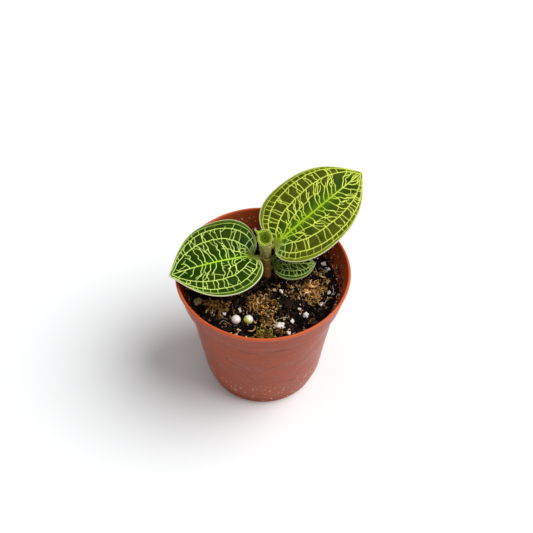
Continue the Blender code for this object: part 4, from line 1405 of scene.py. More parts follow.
@dataclass
class Leaf:
    """One leaf: blade with its vein net, stalk, and the sheath that wraps the stem."""

    name: str
    blade: Blade
    plan: NetPlan
    finish: Finish
    sheath_finish: Finish
    slot: str
    pitch: float
    sheath_bottom: float
    sheath_top: float
    leaves_at: float
    stalk_radius: float
    stalk_end_radius: float
    stalk_drop: float
    stalk_sink: float
    sheath_mouth: float
    sheath_foot: float
    keel_depth: float = 0.8
    keel_half_width: float = 0.8
    under_columns: int = 44
    rim_samples: int = 500
    sheath_rows: int = 14
    sheath_segments: int = 40
    chalk: float = 0.8

    def blade_mesh(self) -> Mesh:
        """Closed blade: a fine upper side and a coarser under side that share the margin's points."""
        blade = self.blade
        rows = round(blade.length / self.pitch)
        columns = 2 * round((blade.half_left + blade.half_right) / self.pitch / 2)
        tops = np.linspace(-1.0, 1.0, columns + 1)
        unders = np.linspace(-1.0, 1.0, self.under_columns + 1)
        t_rows = np.linspace(0.0, 1.0, rows + 1)[1:-1]
        t_top, v_top = np.meshgrid(t_rows, tops, indexing="ij")
        t_low, v_low = np.meshgrid(t_rows, unders[1:-1], indexing="ij")
        rim_top = self.rim_distance(t_top, v_top)
        rim_low = self.rim_distance(t_low, v_low)
        half = 0.5 * blade.thickness
        round_top, round_low = (np.sqrt(1.0 - (1.0 - np.clip(rim / blade.round_edge, 0.0, 1.0)) ** 2)
                                for rim in (rim_top, rim_low))
        ends = blade.shape(np.array([0.0, 1.0]), np.zeros(2), -half)
        top = blade.shape(t_top, v_top, -half + half * round_top).reshape(-1, 3)
        _, aside_low = blade.flat(t_low, v_low)
        fade = np.clip(1.0 - t_low, 0.0, 1.0) ** 0.7 * np.clip(10.0 * t_low, 0.0, 1.0)
        keel = self.keel_depth * fade * np.exp(-((aside_low / self.keel_half_width) ** 2))
        low = blade.shape(t_low, v_low, -half - (half + keel) * round_low).reshape(-1, 3)
        points = np.concatenate([ends, top, low])
        wide = columns + 1
        narrow = self.under_columns - 1
        first_low = 2 + len(top)
        top_at = [[2 + row * wide + column for column in range(wide)] for row in range(rows - 1)]
        low_at = [[top_at[row][0]] + [first_low + row * narrow + column for column in range(narrow)]
                  + [top_at[row][-1]] for row in range(rows - 1)]
        faces: list[list[int]] = []
        for grid, turned in ((top_at, False), (low_at, True)):
            count = len(grid[0]) - 1
            for row in range(rows - 2):
                for column in range(count):
                    face = [grid[row][column], grid[row + 1][column], grid[row + 1][column + 1],
                            grid[row][column + 1]]
                    faces.append(face[::-1] if turned else face)
            for column in range(count):
                tip = [1, grid[-1][column + 1], grid[-1][column]]
                base = [0, grid[0][column], grid[0][column + 1]]
                faces.append(tip[::-1] if turned else tip)
                faces.append(base[::-1] if turned else base)
        mesh = closed_mesh(self.name + "_blade", points, faces)
        (x_top, aside_top), x_low = blade.flat(t_top, v_top), blade.flat(t_low, v_low)[0]
        chalk = np.exp(-((t_top - 0.06) / 0.12) ** 2) * smooth(-v_top, 0.25, 0.6) * self.chalk
        none = np.zeros(rim_low.size)
        for name, ends, top, low in (
                ("rim", (0.0, 0.0), rim_top, rim_low),
                ("notch", (0.0, blade.length), np.hypot(x_top, aside_top), np.hypot(x_low, aside_low)),
                ("aside", (0.0, 0.0), np.abs(aside_top), np.abs(aside_low)),
                ("upper", (0.0, 0.0), smooth(rim_top, 0.25, 1.2), none),
                ("under", (0.0, 0.0), np.zeros(rim_top.size), none + 1.0),
                ("along", (0.0, 1.0), t_top, t_low),
                ("chalk", (0.0, 0.0), chalk, none)):
            keep_numbers(mesh, name, np.concatenate([ends, top.ravel(), low.ravel()]))
        return mesh

    def rim_distance(self, t: Any, v: Any) -> Any:
        """Distance of places on the flat leaf from its margin, in millimetres.

        Args:
            t: Shares along.
            v: Shares across.

        Returns:
            Array of distances.
        """
        count = self.rim_samples
        along = np.linspace(0.0, 1.0, count)
        outline = [self.blade.flat(along, np.full(count, side)) for side in (1.0, -1.0)]
        tree = kdtree.KDTree(2 * count)
        for side, (xs, ys) in enumerate(outline):
            for index in range(count):
                tree.insert((xs[index], ys[index], 0.0), side * count + index)
        tree.balance()
        xs, ys = self.blade.flat(t, v)
        found = [tree.find((x, y, 0.0))[2] for x, y in zip(xs.ravel(), ys.ravel())]
        distance = np.array(found).reshape(xs.shape)
        return np.where(np.abs(v) >= 1.0, 0.0, distance)

    def stalk(self, sweep: Recipe) -> Thing:
        """Stalk from inside the sheath to under the midrib.

        Args:
            sweep: Recipe of round skins.

        Returns:
            The stalk.
        """
        blade = self.blade
        start = stem_axis(self.leaves_at * MM)
        notch = Vector(blade.shape(0.0, 0.0, -self.stalk_drop))
        inside = Vector(blade.shape(self.stalk_sink / blade.length, 0.0, -self.stalk_drop))
        ahead = (inside - notch).normalized() * 1.5 * MM
        path = cubic((start, start.lerp(notch, 0.5), notch - ahead, inside), 18)
        radii = np.linspace(self.stalk_radius, self.stalk_end_radius, len(path)) * MM
        radii[-1] *= 0.6
        host = line_object(self.name + "_stalk_path", path, radii)
        return sweep.cook(self.name + "_stalk", host, Sides=20, Grain_Depth=0.12 * MM, Grain_Size=0.9 * MM,
                          Material=Finish.STALK.paint())

    def sheath(self) -> Thing:
        """Papery sleeve that wraps the stem, thin at its slanting mouth."""
        phase = random.Random(self.name).uniform(0.0, 6.0)
        angles = turns(self.sheath_segments)
        outer: list[list[Vector]] = []
        inner: list[list[Vector]] = []
        for row in range(self.sheath_rows + 1):
            share = row / self.sheath_rows
            widens = (self.sheath_mouth - self.sheath_foot) * share
            grip = self.sheath_foot + widens - 0.12 * (1.0 - share) ** 6
            thin = 0.22 * MM if share > 0.9 else 0.5 * MM
            outer.append([])
            inner.append([])
            for angle in angles:
                slant = 0.55 * share * share * math.cos(angle - phase)
                rise = (self.sheath_top - self.sheath_bottom - 0.35) * share
                centre = stem_axis((self.sheath_bottom + rise + slant) * MM)
                ribs = 0.05 * math.cos(9.0 * angle + phase) + 0.04 * math.sin(17.0 * angle)
                reach = (grip + ribs) * MM
                way = Vector((math.cos(angle), math.sin(angle), 0.0))
                outer[-1].append(centre + way * reach)
                inner[-1].append(centre + way * (reach - thin))
        rings = outer + inner[::-1]
        points = [point for ring in rings for point in ring]
        mesh = closed_mesh(self.name + "_sheath", points, skin(0, len(rings), len(angles), True))
        return show(self.name + "_sheath", mesh, self.sheath_finish.paint())

    def build(self, relief: Recipe, sweep: Recipe) -> None:
        """Build the leaf as one piece and hand it in.

        Args:
            relief: Recipe that raises the veins.
            sweep: Recipe of round skins.
        """
        net = VeinNet(self.blade, self.plan).as_object(self.name + "_veins")
        host = show(self.name + "_host", self.blade_mesh())
        leaf = relief.cook(self.name + "_blade", host, Veins=net, Relief=0.05 * MM, Cell_Dome=0.10 * MM,
                           Material=self.finish.paint())
        drop(net)
        piece = join(self.name + "_fine", [leaf, self.stalk(sweep), self.sheath()])
        hand_in(piece, self.slot, self.name)


@dataclass
class RolledLeaf:
    """Young leaf still rolled into a tube, with a broad rounded lip at its mouth, sizes in millimetres."""

    mouth_radius: float = 2.62
    hole_radius: float = 1.92
    oval: float = 1.08
    hole_oval: float = 1.02
    slant: float = 0.9
    spiral: float = 0.22
    seam: float = 80.0
    tip_angle: float = 148.0
    tip_rise: float = 1.5
    sides: int = 80
    rows: int = 40
    lip_rows: int = 8
    inner_rows: int = 16

    def middle(self, share: float) -> tuple[Vector, float]:
        """Middle of the tube and its outer radius at a share of its length.

        Args:
            share: Share of the length, 1 at the mouth.

        Returns:
            The middle in metres and the radius in millimetres.
        """
        waist = stem_axis(60.6 * MM)
        throat = waist + Vector((-0.1, -0.55, 1.5)) * MM
        stops = [(stem_axis(55.9 * MM), 1.40), (stem_axis(58.0 * MM), 1.45), (waist, 1.5),
                 (waist.lerp(throat, 0.5), 1.8), (throat, 2.0),
                 (Vector((0.45, 3.7, 63.8)) * MM, self.mouth_radius)]
        reach = share * (len(stops) - 1)
        index = min(int(reach), len(stops) - 2)
        blend = float(smooth(reach - index, 0.0, 1.0)) * 0.4 + (reach - index) * 0.6
        low, high = stops[index], stops[index + 1]
        return low[0].lerp(high[0], blend), low[1] + (high[1] - low[1]) * blend

    def stations(self) -> list[Three]:
        """Rows of the skin: share of the length, share across the wall, and place for the colour."""
        rows = [(row / self.rows, 0.0, row / self.rows) for row in range(self.rows + 1)]
        rows += [(1.0, row / self.lip_rows, 1.0 + row / self.lip_rows) for row in range(1, self.lip_rows)]
        rows += [(1.0 - 0.62 * row / self.inner_rows, 1.0, 2.0 + row / self.inner_rows)
                 for row in range(self.inner_rows + 1)]
        return rows

    def build(self) -> None:
        """Build the tube as one closed skin and hand it in."""
        lean = (self.middle(1.0)[0] - self.middle(0.8)[0]).normalized()
        side = Vector((1.0, 0.0, 0.0))
        side = (side - lean * side.dot(lean)).normalized()
        up = lean.cross(side)
        rings = []
        places = []
        for share, across, place in self.stations():
            middle, radius = self.middle(share)
            open_share = float(smooth(share, 0.55, 1.0))
            tilt = float(smooth(share, 0.45, 0.8))
            x_axis = Vector((1.0, 0.0, 0.0)).lerp(side, tilt)
            y_axis = Vector((0.0, 1.0, 0.0)).lerp(up, tilt)
            wall = (self.mouth_radius - self.hole_radius) * (0.55 + 0.45 * open_share)
            arc = math.pi * min(1.0, across)
            reach = radius - 0.5 * wall * (1.0 - math.cos(arc))
            curve = 0.5 * wall * math.sin(arc)
            oval = 1.0 + (self.oval + (self.hole_oval - self.oval) * across - 1.0) * open_share
            ring = []
            for step in range(self.sides):
                turned = step / self.sides
                angle = math.radians(self.seam) + 2.0 * math.pi * turned
                fold = self.spiral * (turned - 0.5) * open_share
                closeness = max(0.0, math.cos(angle - math.radians(self.tip_angle)))
                mouth = float(smooth(share, 0.8, 1.0))
                rise = self.tip_rise * closeness**90 * mouth * (1.0 - 0.6 * across)
                wave = (0.08 * math.sin(3.0 * angle + 1.0) + self.slant * math.sin(angle)) * mouth
                out = max(0.35, reach + fold + 0.9 * rise)
                flat = x_axis * (out * math.cos(angle)) + y_axis * (out * oval * math.sin(angle))
                ring.append(middle + (flat + lean * (rise + wave + curve)) * MM)
                places.append(place)
            rings.append(ring)
        mesh = tube_mesh("leaf_rolled_fine", rings)
        keep_numbers(mesh, "mouth", places)
        hand_in(show("leaf_rolled_fine", mesh, self.dress()), "leaf_pale", "leaf_rolled")

    @staticmethod
    def dress() -> Material:
        """Yellow-green skin with two pale lines round the lip, and a net inside."""
        paint = Paint("leaf_pale", 0.42)
        mouth = paint.attribute("mouth")
        net = paint.step(paint.cells(1.15, kind="DISTANCE_TO_EDGE"), 0.12, 0.05)
        paint.coat = paint.mix(paint.step(paint.noise(1.8), 0.35, 0.7), (0.22, 0.31, 0.018),
                               (0.32, 0.45, 0.03))
        paint.coat = paint.mix(paint.step(mouth, 0.35, 0.62), (0.32, 0.34, 0.11), paint.coat)
        paint.lay(paint.step(mouth, 2.0, 2.5), (0.30, 0.38, 0.020))
        net = net * paint.step(mouth, 2.02, 2.12)
        paint.lay(net * 0.7, (0.66, 0.82, 0.12))
        outer_line = paint.step(mouth, 0.95, 1.0) * paint.step(mouth, 1.26, 1.16)
        inner_line = paint.step(mouth, 1.7, 1.8) * paint.step(mouth, 2.03, 1.96)
        paint.lay(paint.step(mouth, 1.1, 1.3) * paint.step(mouth, 1.8, 1.7), (0.28, 0.37, 0.022))
        paint.lay(outer_line, (0.95, 0.95, 0.42))
        paint.lay(inner_line, (0.62, 0.80, 0.12))
        paint.colour(paint.coat)
        paint.relief(net + paint.noise(0.3), 0.05)
        paint.glow_within(0.25, (0.8, 1.0, 0.3), 0.8)
        paint.gloss(0.12)
        return paint.material


@dataclass
class Stem:
    """Short fleshy stem with a swollen foot and four buried roots, sizes in millimetres."""

    crown: float = 37.0
    core_top: float = 55.6
    foot_radius: float = 1.7
    core_radius: float = 1.3
    root_turns: tuple[float, ...] = (25.0, 115.0, 205.0, 290.0)
    root_reaches: tuple[float, ...] = (13.0, 10.0, 14.0, 11.0)
    root_depths: tuple[float, ...] = (12.0, 20.0, 9.0, 17.0)

    def build(self, sweep: Recipe) -> None:
        """Build the stem and its roots as one piece and hand it in.

        Args:
            sweep: Recipe of round skins.
        """
        heights = np.linspace(self.crown, self.core_top, 46)
        radii = []
        for height in heights:
            reach = self.foot_radius if height < 45.4 else self.core_radius
            reach *= 0.8 + 0.2 * float(smooth(height, self.crown, self.crown + 2.0))
            reach += 0.12 * math.exp(-((height - 45.0) / 0.35) ** 2)
            radii.append(reach * MM)
        path = [stem_axis(height * MM) for height in heights]
        shape = {"Sides": 24, "Grain_Depth": 0.12 * MM, "Grain_Size": 0.8 * MM,
                 "Material": Finish.STEM.paint()}
        parts = [sweep.cook("stem_core", line_object("stem_path", path, radii), **shape)]
        for turn, reach, depth in zip(self.root_turns, self.root_reaches, self.root_depths):
            out = Vector((math.cos(math.radians(turn)), math.sin(math.radians(turn)), 0.0))
            start = stem_axis((self.crown + 1.5) * MM)
            end = start + out * reach * MM
            end.z = depth * MM
            corners = (start, start + out * 4.0 * MM, start + (out - Vector((0.0, 0.0, 1.0))) * 9.0 * MM, end)
            root = cubic(corners, 22)
            host = line_object("root_path", root, np.linspace(1.1, 0.5, len(root)) * MM)
            parts.append(sweep.cook("root", host, **shape))
        hand_in(join("stem_fine", parts), "stem_skin", "stem")


class Lathe(Recipe):
    """Turned wall: each row of a grid takes its radius and height from a profile's point."""

    def __init__(self) -> None:
        """Build the tree."""
        super().__init__("lathe")
        rows, segments, dent, material = self.ask(Rows="Int", Segments="Int", Dent="Float",
                                                  Material="Material")
        grid = self.wire("GeometryNodeMeshGrid", {"Size X": 1.0, "Size Y": 1.0, "Vertices X": rows,
                                                  "Vertices Y": segments + 1.0})
        place = self.wire("GeometryNodeInputPosition")
        axes = self.add("ShaderNodeSeparateXYZ", {"Vector": place})
        row = self.math("ROUND", (self.out(axes, "X") + 0.5) * (rows - 1.0))
        spot = self.wire("GeometryNodeSampleIndex", {"Geometry": self.host, "Value": place, "Index": row},
                         data_type="FLOAT_VECTOR", domain="POINT")
        profile = self.add("ShaderNodeSeparateXYZ", {"Vector": spot})
        angle = (self.out(axes, "Y") + 0.5) * (2.0 * math.pi)
        cosine, sine = self.math("COSINE", angle), self.math("SINE", angle)
        radius, height = self.out(profile, "X"), self.out(profile, "Z")
        flat = self.combine(radius * cosine, radius * sine, height)
        around = self.vector("MULTIPLY", self.combine(cosine, sine, height * 60.0), (1.4, 1.4, 1.0))
        dents = self.wire("ShaderNodeTexNoise", {"Vector": around, "Scale": 1.0, "Detail": 2.0})
        swell = (dents - 0.5) * dent * self.step(radius, 0.004, 0.019)
        turned = self.vector("ADD", flat, self.vector("SCALE", self.combine(cosine, sine, 0.0), swell))
        inner = self.wire("GeometryNodeSampleIndex", {"Geometry": self.host, "Value": self.stored("inner"),
                                                      "Index": row}, data_type="FLOAT", domain="POINT")
        marked = self.store(grid, "inner", inner)
        moved = self.wire("GeometryNodeSetPosition", {"Geometry": marked, "Position": turned})
        whole = self.wire("GeometryNodeMergeByDistance", {"Geometry": moved, "Distance": 0.004 * MM})
        self.close(whole, material)


@dataclass
class Pot:
    """Moulded plastic cup with a rounded lip, a collar, a stepped body, a foot and drain holes."""

    segments: int = 240
    drain_count: int = 6
    drain_radius: float = 2.2 * MM
    drain_sides: int = 28
    drain_ring: float = 15.0 * MM
    pitch: float = 0.9 * MM

    def corners(self) -> list[Three]:
        """Profile corners from the underside's middle round to the floor's middle, with a rounding each."""
        step = POT_HEIGHT - COLLAR_HEIGHT
        mm = ((0.0, 0.0, 0.0), (19.6, 0.0, 0.0), (20.0, 0.4, 0.3), (20.5, 4.6, 0.4), (21.6, 5.5, 0.5),
              (26.45, step / MM, 0.18), (28.1, step / MM + 0.15, 0.4), (29.1, 50.6, 0.18), (29.8, 50.85, 0.2),
              (30.0, 51.35, 0.25), (29.75, 51.85, 0.25), (29.4, 52.0, 0.2), (29.05, 51.85, 0.25),
              (28.85, 51.3, 0.35), (27.3, step / MM + 0.8, 0.3), (25.65, step / MM + 0.75, 0.4),
              (20.8, 5.5, 0.6), (19.2, 1.3, 0.5), (0.0, 1.3, 0.0))
        return [(x * MM, z * MM, r * MM) for x, z, r in mm]

    def profile(self) -> list[Share]:
        """Profile with rounded corners and points close enough for a smooth wall."""
        corners = self.corners()
        soft: list[Share] = [corners[0][:2]]
        for before, here, after in zip(corners, corners[1:], corners[2:]):
            spot = Vector(here[:2])
            back = Vector(before[:2]) - spot
            ahead = Vector(after[:2]) - spot
            reach = min(here[2], 0.45 * back.length, 0.45 * ahead.length)
            start = spot + back.normalized() * reach
            end = spot + ahead.normalized() * reach
            for index in range(5):
                t = index / 4
                soft.append(tuple(start * (1 - t) ** 2 + spot * (2 * t * (1 - t)) + end * t * t))
        soft.append(corners[-1][:2])
        dense = [soft[0]]
        for low, high in zip(soft, soft[1:]):
            gap = math.dist(low, high)
            count = max(1, round(gap / (2.0 * self.pitch)))
            for index in range(1, count + 1):
                share = index / count
                spot = (low[0] + (high[0] - low[0]) * share, low[1] + (high[1] - low[1]) * share)
                if math.dist(spot, dense[-1]) > 0.012 * MM:
                    dense.append(spot)
        return dense

    def build(self, lathe: Recipe) -> None:
        """Turn the wall, drill the drain holes and hand the pot in.

        Args:
            lathe: Recipe of turned walls.
        """
        profile = self.profile()
        top = max(range(len(profile)), key=lambda index: profile[index][1])
        mesh = bpy.data.meshes.new("pot_profile")
        mesh.from_pydata([(x, 0.0, z) for x, z in profile], [], [])
        keep_numbers(mesh, "inner", [1.0 if index > top + 6 else 0.0 for index in range(len(profile))])
        pot = lathe.cook("pot_fine", show("pot_profile", mesh), Rows=len(profile), Segments=self.segments,
                         Dent=0.40 * MM, Material=Finish.POT.paint())
        face_out(pot.data)
        cutter = join("drills", [self.drill(index) for index in range(self.drain_count)])
        cut = pot.modifiers.new("drain", "BOOLEAN")
        cut.operation = "DIFFERENCE"
        cut.solver = "EXACT"
        cut.object = cutter
        pot.data = settled(pot)
        pot.data.materials.clear()
        pot.data.materials.append(Finish.POT.paint())
        pot.data.set_sharp_from_angle(angle=math.radians(50.0))
        drop(cutter)
        hand_in(pot, "pot_plastic", "pot")

    def drill(self, index: int) -> Thing:
        """Cutter for one drain hole.

        Args:
            index: Number of the hole.

        Returns:
            The cutter.
        """
        angle = 2.0 * math.pi * (index + 0.5) / self.drain_count
        middle = Vector((math.cos(angle), math.sin(angle), 0.0)) * self.drain_ring
        rings = [[middle + Vector((math.cos(turn), math.sin(turn), 0.0)) * self.drain_radius
                  + Vector((0.0, 0.0, height)) for turn in turns(self.drain_sides)]
                 for height in (-2.0 * MM, POT_FLOOR + 2.0 * MM)]
        return show("drill_%d" % index, tube_mesh("drill_%d" % index, rings), Finish.POT.paint())


class Ground:
    """The soil's surface, the same rule as the solid model's."""

    def __init__(self) -> None:
        """Draw the lumps with the solid model's seed."""
        draw = random.Random(SEED)
        self.crumbs: list[Four] = []
        for _ in range(50):
            angle = draw.uniform(0.0, 2.0 * math.pi)
            far = math.sqrt(draw.random()) * (BODY_TOP_RADIUS - 3.0 * MM)
            rise = draw.uniform(0.4, 1.0) * 0.75 * MM
            reach = draw.uniform(0.7, 1.3) * 1.5 * MM
            self.crumbs.append((far * math.cos(angle), far * math.sin(angle), rise, reach))

    def height(self, x: float, y: float) -> float:
        """Height of the soil's smooth surface in metres.

        Args:
            x: Place to the right in metres.
            y: Place to the back in metres.

        Returns:
            The height.
        """
        edge = max(0.0, min(1.0, (BODY_TOP_RADIUS - math.hypot(x, y)) / (3.0 * MM)))
        wave = math.sin(x / (4.1 * MM) + 0.7) * math.cos(y / (5.3 * MM))
        wave += 0.6 * math.sin((x + y) / (2.9 * MM))
        height = SOIL_LEVEL + SOIL_RIPPLE * wave * edge
        for crumb_x, crumb_y, rise, reach in self.crumbs:
            height += rise * math.exp(-((x - crumb_x) ** 2 + (y - crumb_y) ** 2) / reach**2) * edge
        return height

    def seat(self, x: float, y: float, rise: float) -> Vector:
        """Place on the soil in metres, from millimetres and a rise over it."""
        return Vector((x * MM, y * MM, self.height(x * MM, y * MM) + rise * MM))

    def rough_height(self, x: float, y: float) -> float:
        """Height with the broken grain of peat.

        Args:
            x: Place across.
            y: Place in depth.

        Returns:
            The height in metres.
        """
        spot = Vector((x, y, 0.0))
        edge = max(0.0, min(1.0, (SOIL_TOP_RADIUS - math.hypot(x, y)) / (0.8 * MM)))
        lumps = rough_at(spot, 1.7 * MM, 2) * 0.42
        lumps += rough_at(spot + Vector((0.1, 0.0, 0.0)), 0.55 * MM, 3) * 0.30
        return self.height(x, y) + lumps * MM * edge


def shard(draw: random.Random, sizes: Three, count: int) -> Mesh:
    """Angular scrap of a few faces, with half sizes in millimetres.

    Args:
        draw: Source of the random draws.
        sizes: Half sizes on each axis.
        count: Number of points that its hull is drawn round.

    Returns:
        The scrap's mesh.
    """
    work = bmesh.new()
    for _ in range(count):
        way = Vector((draw.gauss(0, 1), draw.gauss(0, 1), draw.gauss(0, 1))).normalized()
        work.verts.new([way[axis] * sizes[axis] * MM * draw.uniform(0.8, 1.1) for axis in range(3)])
    hull = bmesh.ops.convex_hull(work, input=work.verts[:])
    spare = [item for item in hull["geom_interior"] if isinstance(item, bmesh.types.BMVert)]
    bmesh.ops.delete(work, geom=spare, context="VERTS")
    return set_down(work, bpy.data.meshes.new("shard"))


def curl(draw: random.Random, length: float, thick: float, bend: float, flat: float) -> Mesh:
    """Curled tapering strand: length and thickness in millimetres, bend in turns, flat from 0 to 1.

    Args:
        draw: Source of the random draws.
        length: Length of the strand.
        thick: Largest half width.
        bend: How much it curls.
        flat: Its thickness as a share of its width.

    Returns:
        The strand's mesh.
    """
    steps = 7
    rings = []
    place = Vector((-0.5 * length, 0.0, 0.0)) * MM
    heading = Vector((1.0, 0.0, 0.0))
    yaw = draw.uniform(-1.0, 1.0) * bend
    pitch = draw.uniform(-1.0, 1.0) * bend
    for index in range(steps + 1):
        share = index / steps
        radius = thick * MM * (1.0 - 0.8 * abs(2.0 * share - 0.9) ** 2.0 * 0.9)
        side = heading.cross(Vector((0.0, 0.0, 1.0))).normalized()
        up = side.cross(heading)
        twist = share * 2.2
        ring = []
        for corner in range(3):
            angle = 2.0 * math.pi * corner / 3 + twist
            ring.append(place + side * (radius * math.cos(angle)) + up * (radius * flat * math.sin(angle)))
        rings.append(ring)
        place = place + heading * (length / steps) * MM
        turned = Matrix.Rotation(yaw * 2.0 / steps, 3, "Z") @ Matrix.Rotation(pitch * 2.0 / steps, 3, "Y")
        heading = (turned @ heading).normalized()
        yaw += draw.uniform(-0.4, 0.4) * bend
        pitch += draw.uniform(-0.4, 0.4) * bend
    return tube_mesh("curl", rings)


def sprig(draw: random.Random, length: float) -> Mesh:
    """Moss sprig: a bent stalk with small pointed leaflets, length in millimetres.

    Args:
        draw: Source of the random draws.
        length: Length of the stalk.

    Returns:
        The sprig's mesh.
    """
    work = bmesh.new()
    stalk = curl(draw, length, 0.10, 1.4, 1.0)
    work.from_mesh(stalk)
    spots = [Vector(stalk.vertices[index].co) for index in range(3, len(stalk.vertices) - 3, 3)]
    bpy.data.meshes.remove(stalk)
    for index, spot in enumerate(spots + spots[1:-1]):
        turn = index * 2.4
        way = Vector((0.55, math.cos(turn), math.sin(turn))).normalized()
        side = way.orthogonal().normalized()
        up = way.cross(side)
        reach = draw.uniform(0.8, 1.3) * MM
        corners = [spot - way * 0.1 * MM, spot + way * 0.45 * reach + side * 0.36 * MM,
                   spot + way * 0.45 * reach - side * 0.36 * MM, spot + way * 0.45 * reach + up * 0.14 * MM,
                   spot + way * reach]
        verts = [work.verts.new(corner) for corner in corners]
        for a, b, c in ((0, 1, 3), (0, 3, 2), (0, 2, 1), (4, 3, 1), (4, 2, 3), (4, 1, 2)):
            work.faces.new((verts[a], verts[b], verts[c]))
    return set_down(work, bpy.data.meshes.new("sprig"))


class Scatter(Recipe):
    """Strews the pieces of a collection over a surface, each turned, scaled and tinted by chance."""

    def __init__(self) -> None:
        """Build the tree."""
        super().__init__("scatter on a surface")
        pieces, density, smallest, largest, tilt = self.ask(
            Pieces="Collection", Density="Float", Smallest="Float", Largest="Float", Tilt="Float")
        lift, seed, keep, shade, material = self.ask(
            Lift="Float", Seed="Int", Keep_Ground="Bool", Smooth="Bool", Material="Material")
        crowd = density * self.stored("room")
        strewn = self.add("GeometryNodeDistributePointsOnFaces", {"Mesh": self.host, "Density": crowd,
                                                                  "Seed": seed})
        off = self.vector("SCALE", strewn.outputs["Normal"], lift)
        raised = self.wire("GeometryNodeSetPosition", {"Geometry": strewn.outputs["Points"], "Offset": off})
        turn = self.chance(self.combine(tilt * -1.0, tilt * -1.0, -math.pi),
                           self.combine(tilt, tilt, math.pi), seed, "FLOAT_VECTOR")
        local = self.wire("FunctionNodeEulerToRotation", {"Euler": turn})
        rotation = self.wire("FunctionNodeRotateRotation", {"Rotation": strewn.outputs["Rotation"],
                                                            "Rotate By": local}, rotation_space="LOCAL")
        size = self.chance(smallest, largest, seed + 3.0)
        listed = self.wire("GeometryNodeCollectionInfo", {"Collection": pieces, "Separate Children": True,
                                                          "Reset Children": True})
        placed = self.wire("GeometryNodeInstanceOnPoints", {
            "Points": raised, "Instance": listed, "Pick Instance": True,
            "Instance Index": self.chance(0, 1000, seed + 5.0, "INT"), "Rotation": rotation, "Scale": size})
        tinted = self.store(placed, "tint", self.chance(0.0, 1.0, seed + 7.0), "INSTANCE")
        based = self.store(self.host, "tint", 0.02)
        chosen = self.wire("GeometryNodeSwitch", {"Switch": keep, "True": based}, input_type="GEOMETRY")
        joined = self.add("GeometryNodeJoinGeometry")
        for part in (tinted, chosen):
            self.feed(joined.inputs[0], part)
        self.close(self.out(joined), material, shade)


def strew(scatter: Recipe, name: str, host: Thing, meshes: Iterable[Mesh], finish: Finish,
          **values: Any) -> Thing:
    """Strew small pieces over a host.

    Args:
        scatter: The recipe that strews.
        name: Name of the finished object.
        host: Surface with its share of room; it is removed.
        meshes: The small pieces.
        finish: Finish of the whole.
        values: Inputs of the recipe by name.

    Returns:
        The finished object.
    """
    box = bpy.data.collections.new(name + "_bits")
    bpy.context.scene.collection.children.link(box)
    for index, mesh in enumerate(meshes):
        box.objects.link(bpy.data.objects.new("%s_bit_%02d" % (name, index), mesh))
    piece = scatter.cook(name, host, Pieces=box, Material=finish.paint(), **values)
    for bit in list(box.objects):
        drop(bit)
    bpy.data.collections.remove(box)
    return piece


# Middles of the drifts of loose moss on the peat, in millimetres
DRIFTS = ((11.0, 1.0), (13.5, -5.0), (20.0, 1.5), (-1.0, -9.5), (4.0, -13.0), (-15.5, -9.5), (9.0, 5.0),
          (1.0, -20.0))


@dataclass(frozen=True)
class Litter:
    """One kind of small piece strewn on the peat, its reach and lift in millimetres."""

    name: str
    reach: float
    density: float
    smallest: float
    largest: float
    tilt: float
    lift: float
    seed: int
    finish: Finish
    smooth: bool = False


CRUMBS = Litter("peat_crumbs", 27.25, 1.25e6, 0.45, 1.35, 1.5, 0.15, 3, Finish.PEAT)
CHIPS = Litter("peat_chips", 25.6, 4.2e5, 0.5, 1.5, 0.7, 0.3, 4, Finish.BARK)
FIBRES = Litter("peat_fibres", 24.5, 9.0e4, 0.5, 1.2, 0.5, 0.45, 5, Finish.BARK, True)
SCRAPS = Litter("moss_scraps", 24.0, 5.0e5, 0.5, 1.25, 0.6, 0.4, 8, Finish.MOSS_BROWN, True)
GRIT = Litter("white_grit", 25.8, 9.5e4, 0.4, 1.3, 1.5, 0.38, 6, Finish.PERLITE)


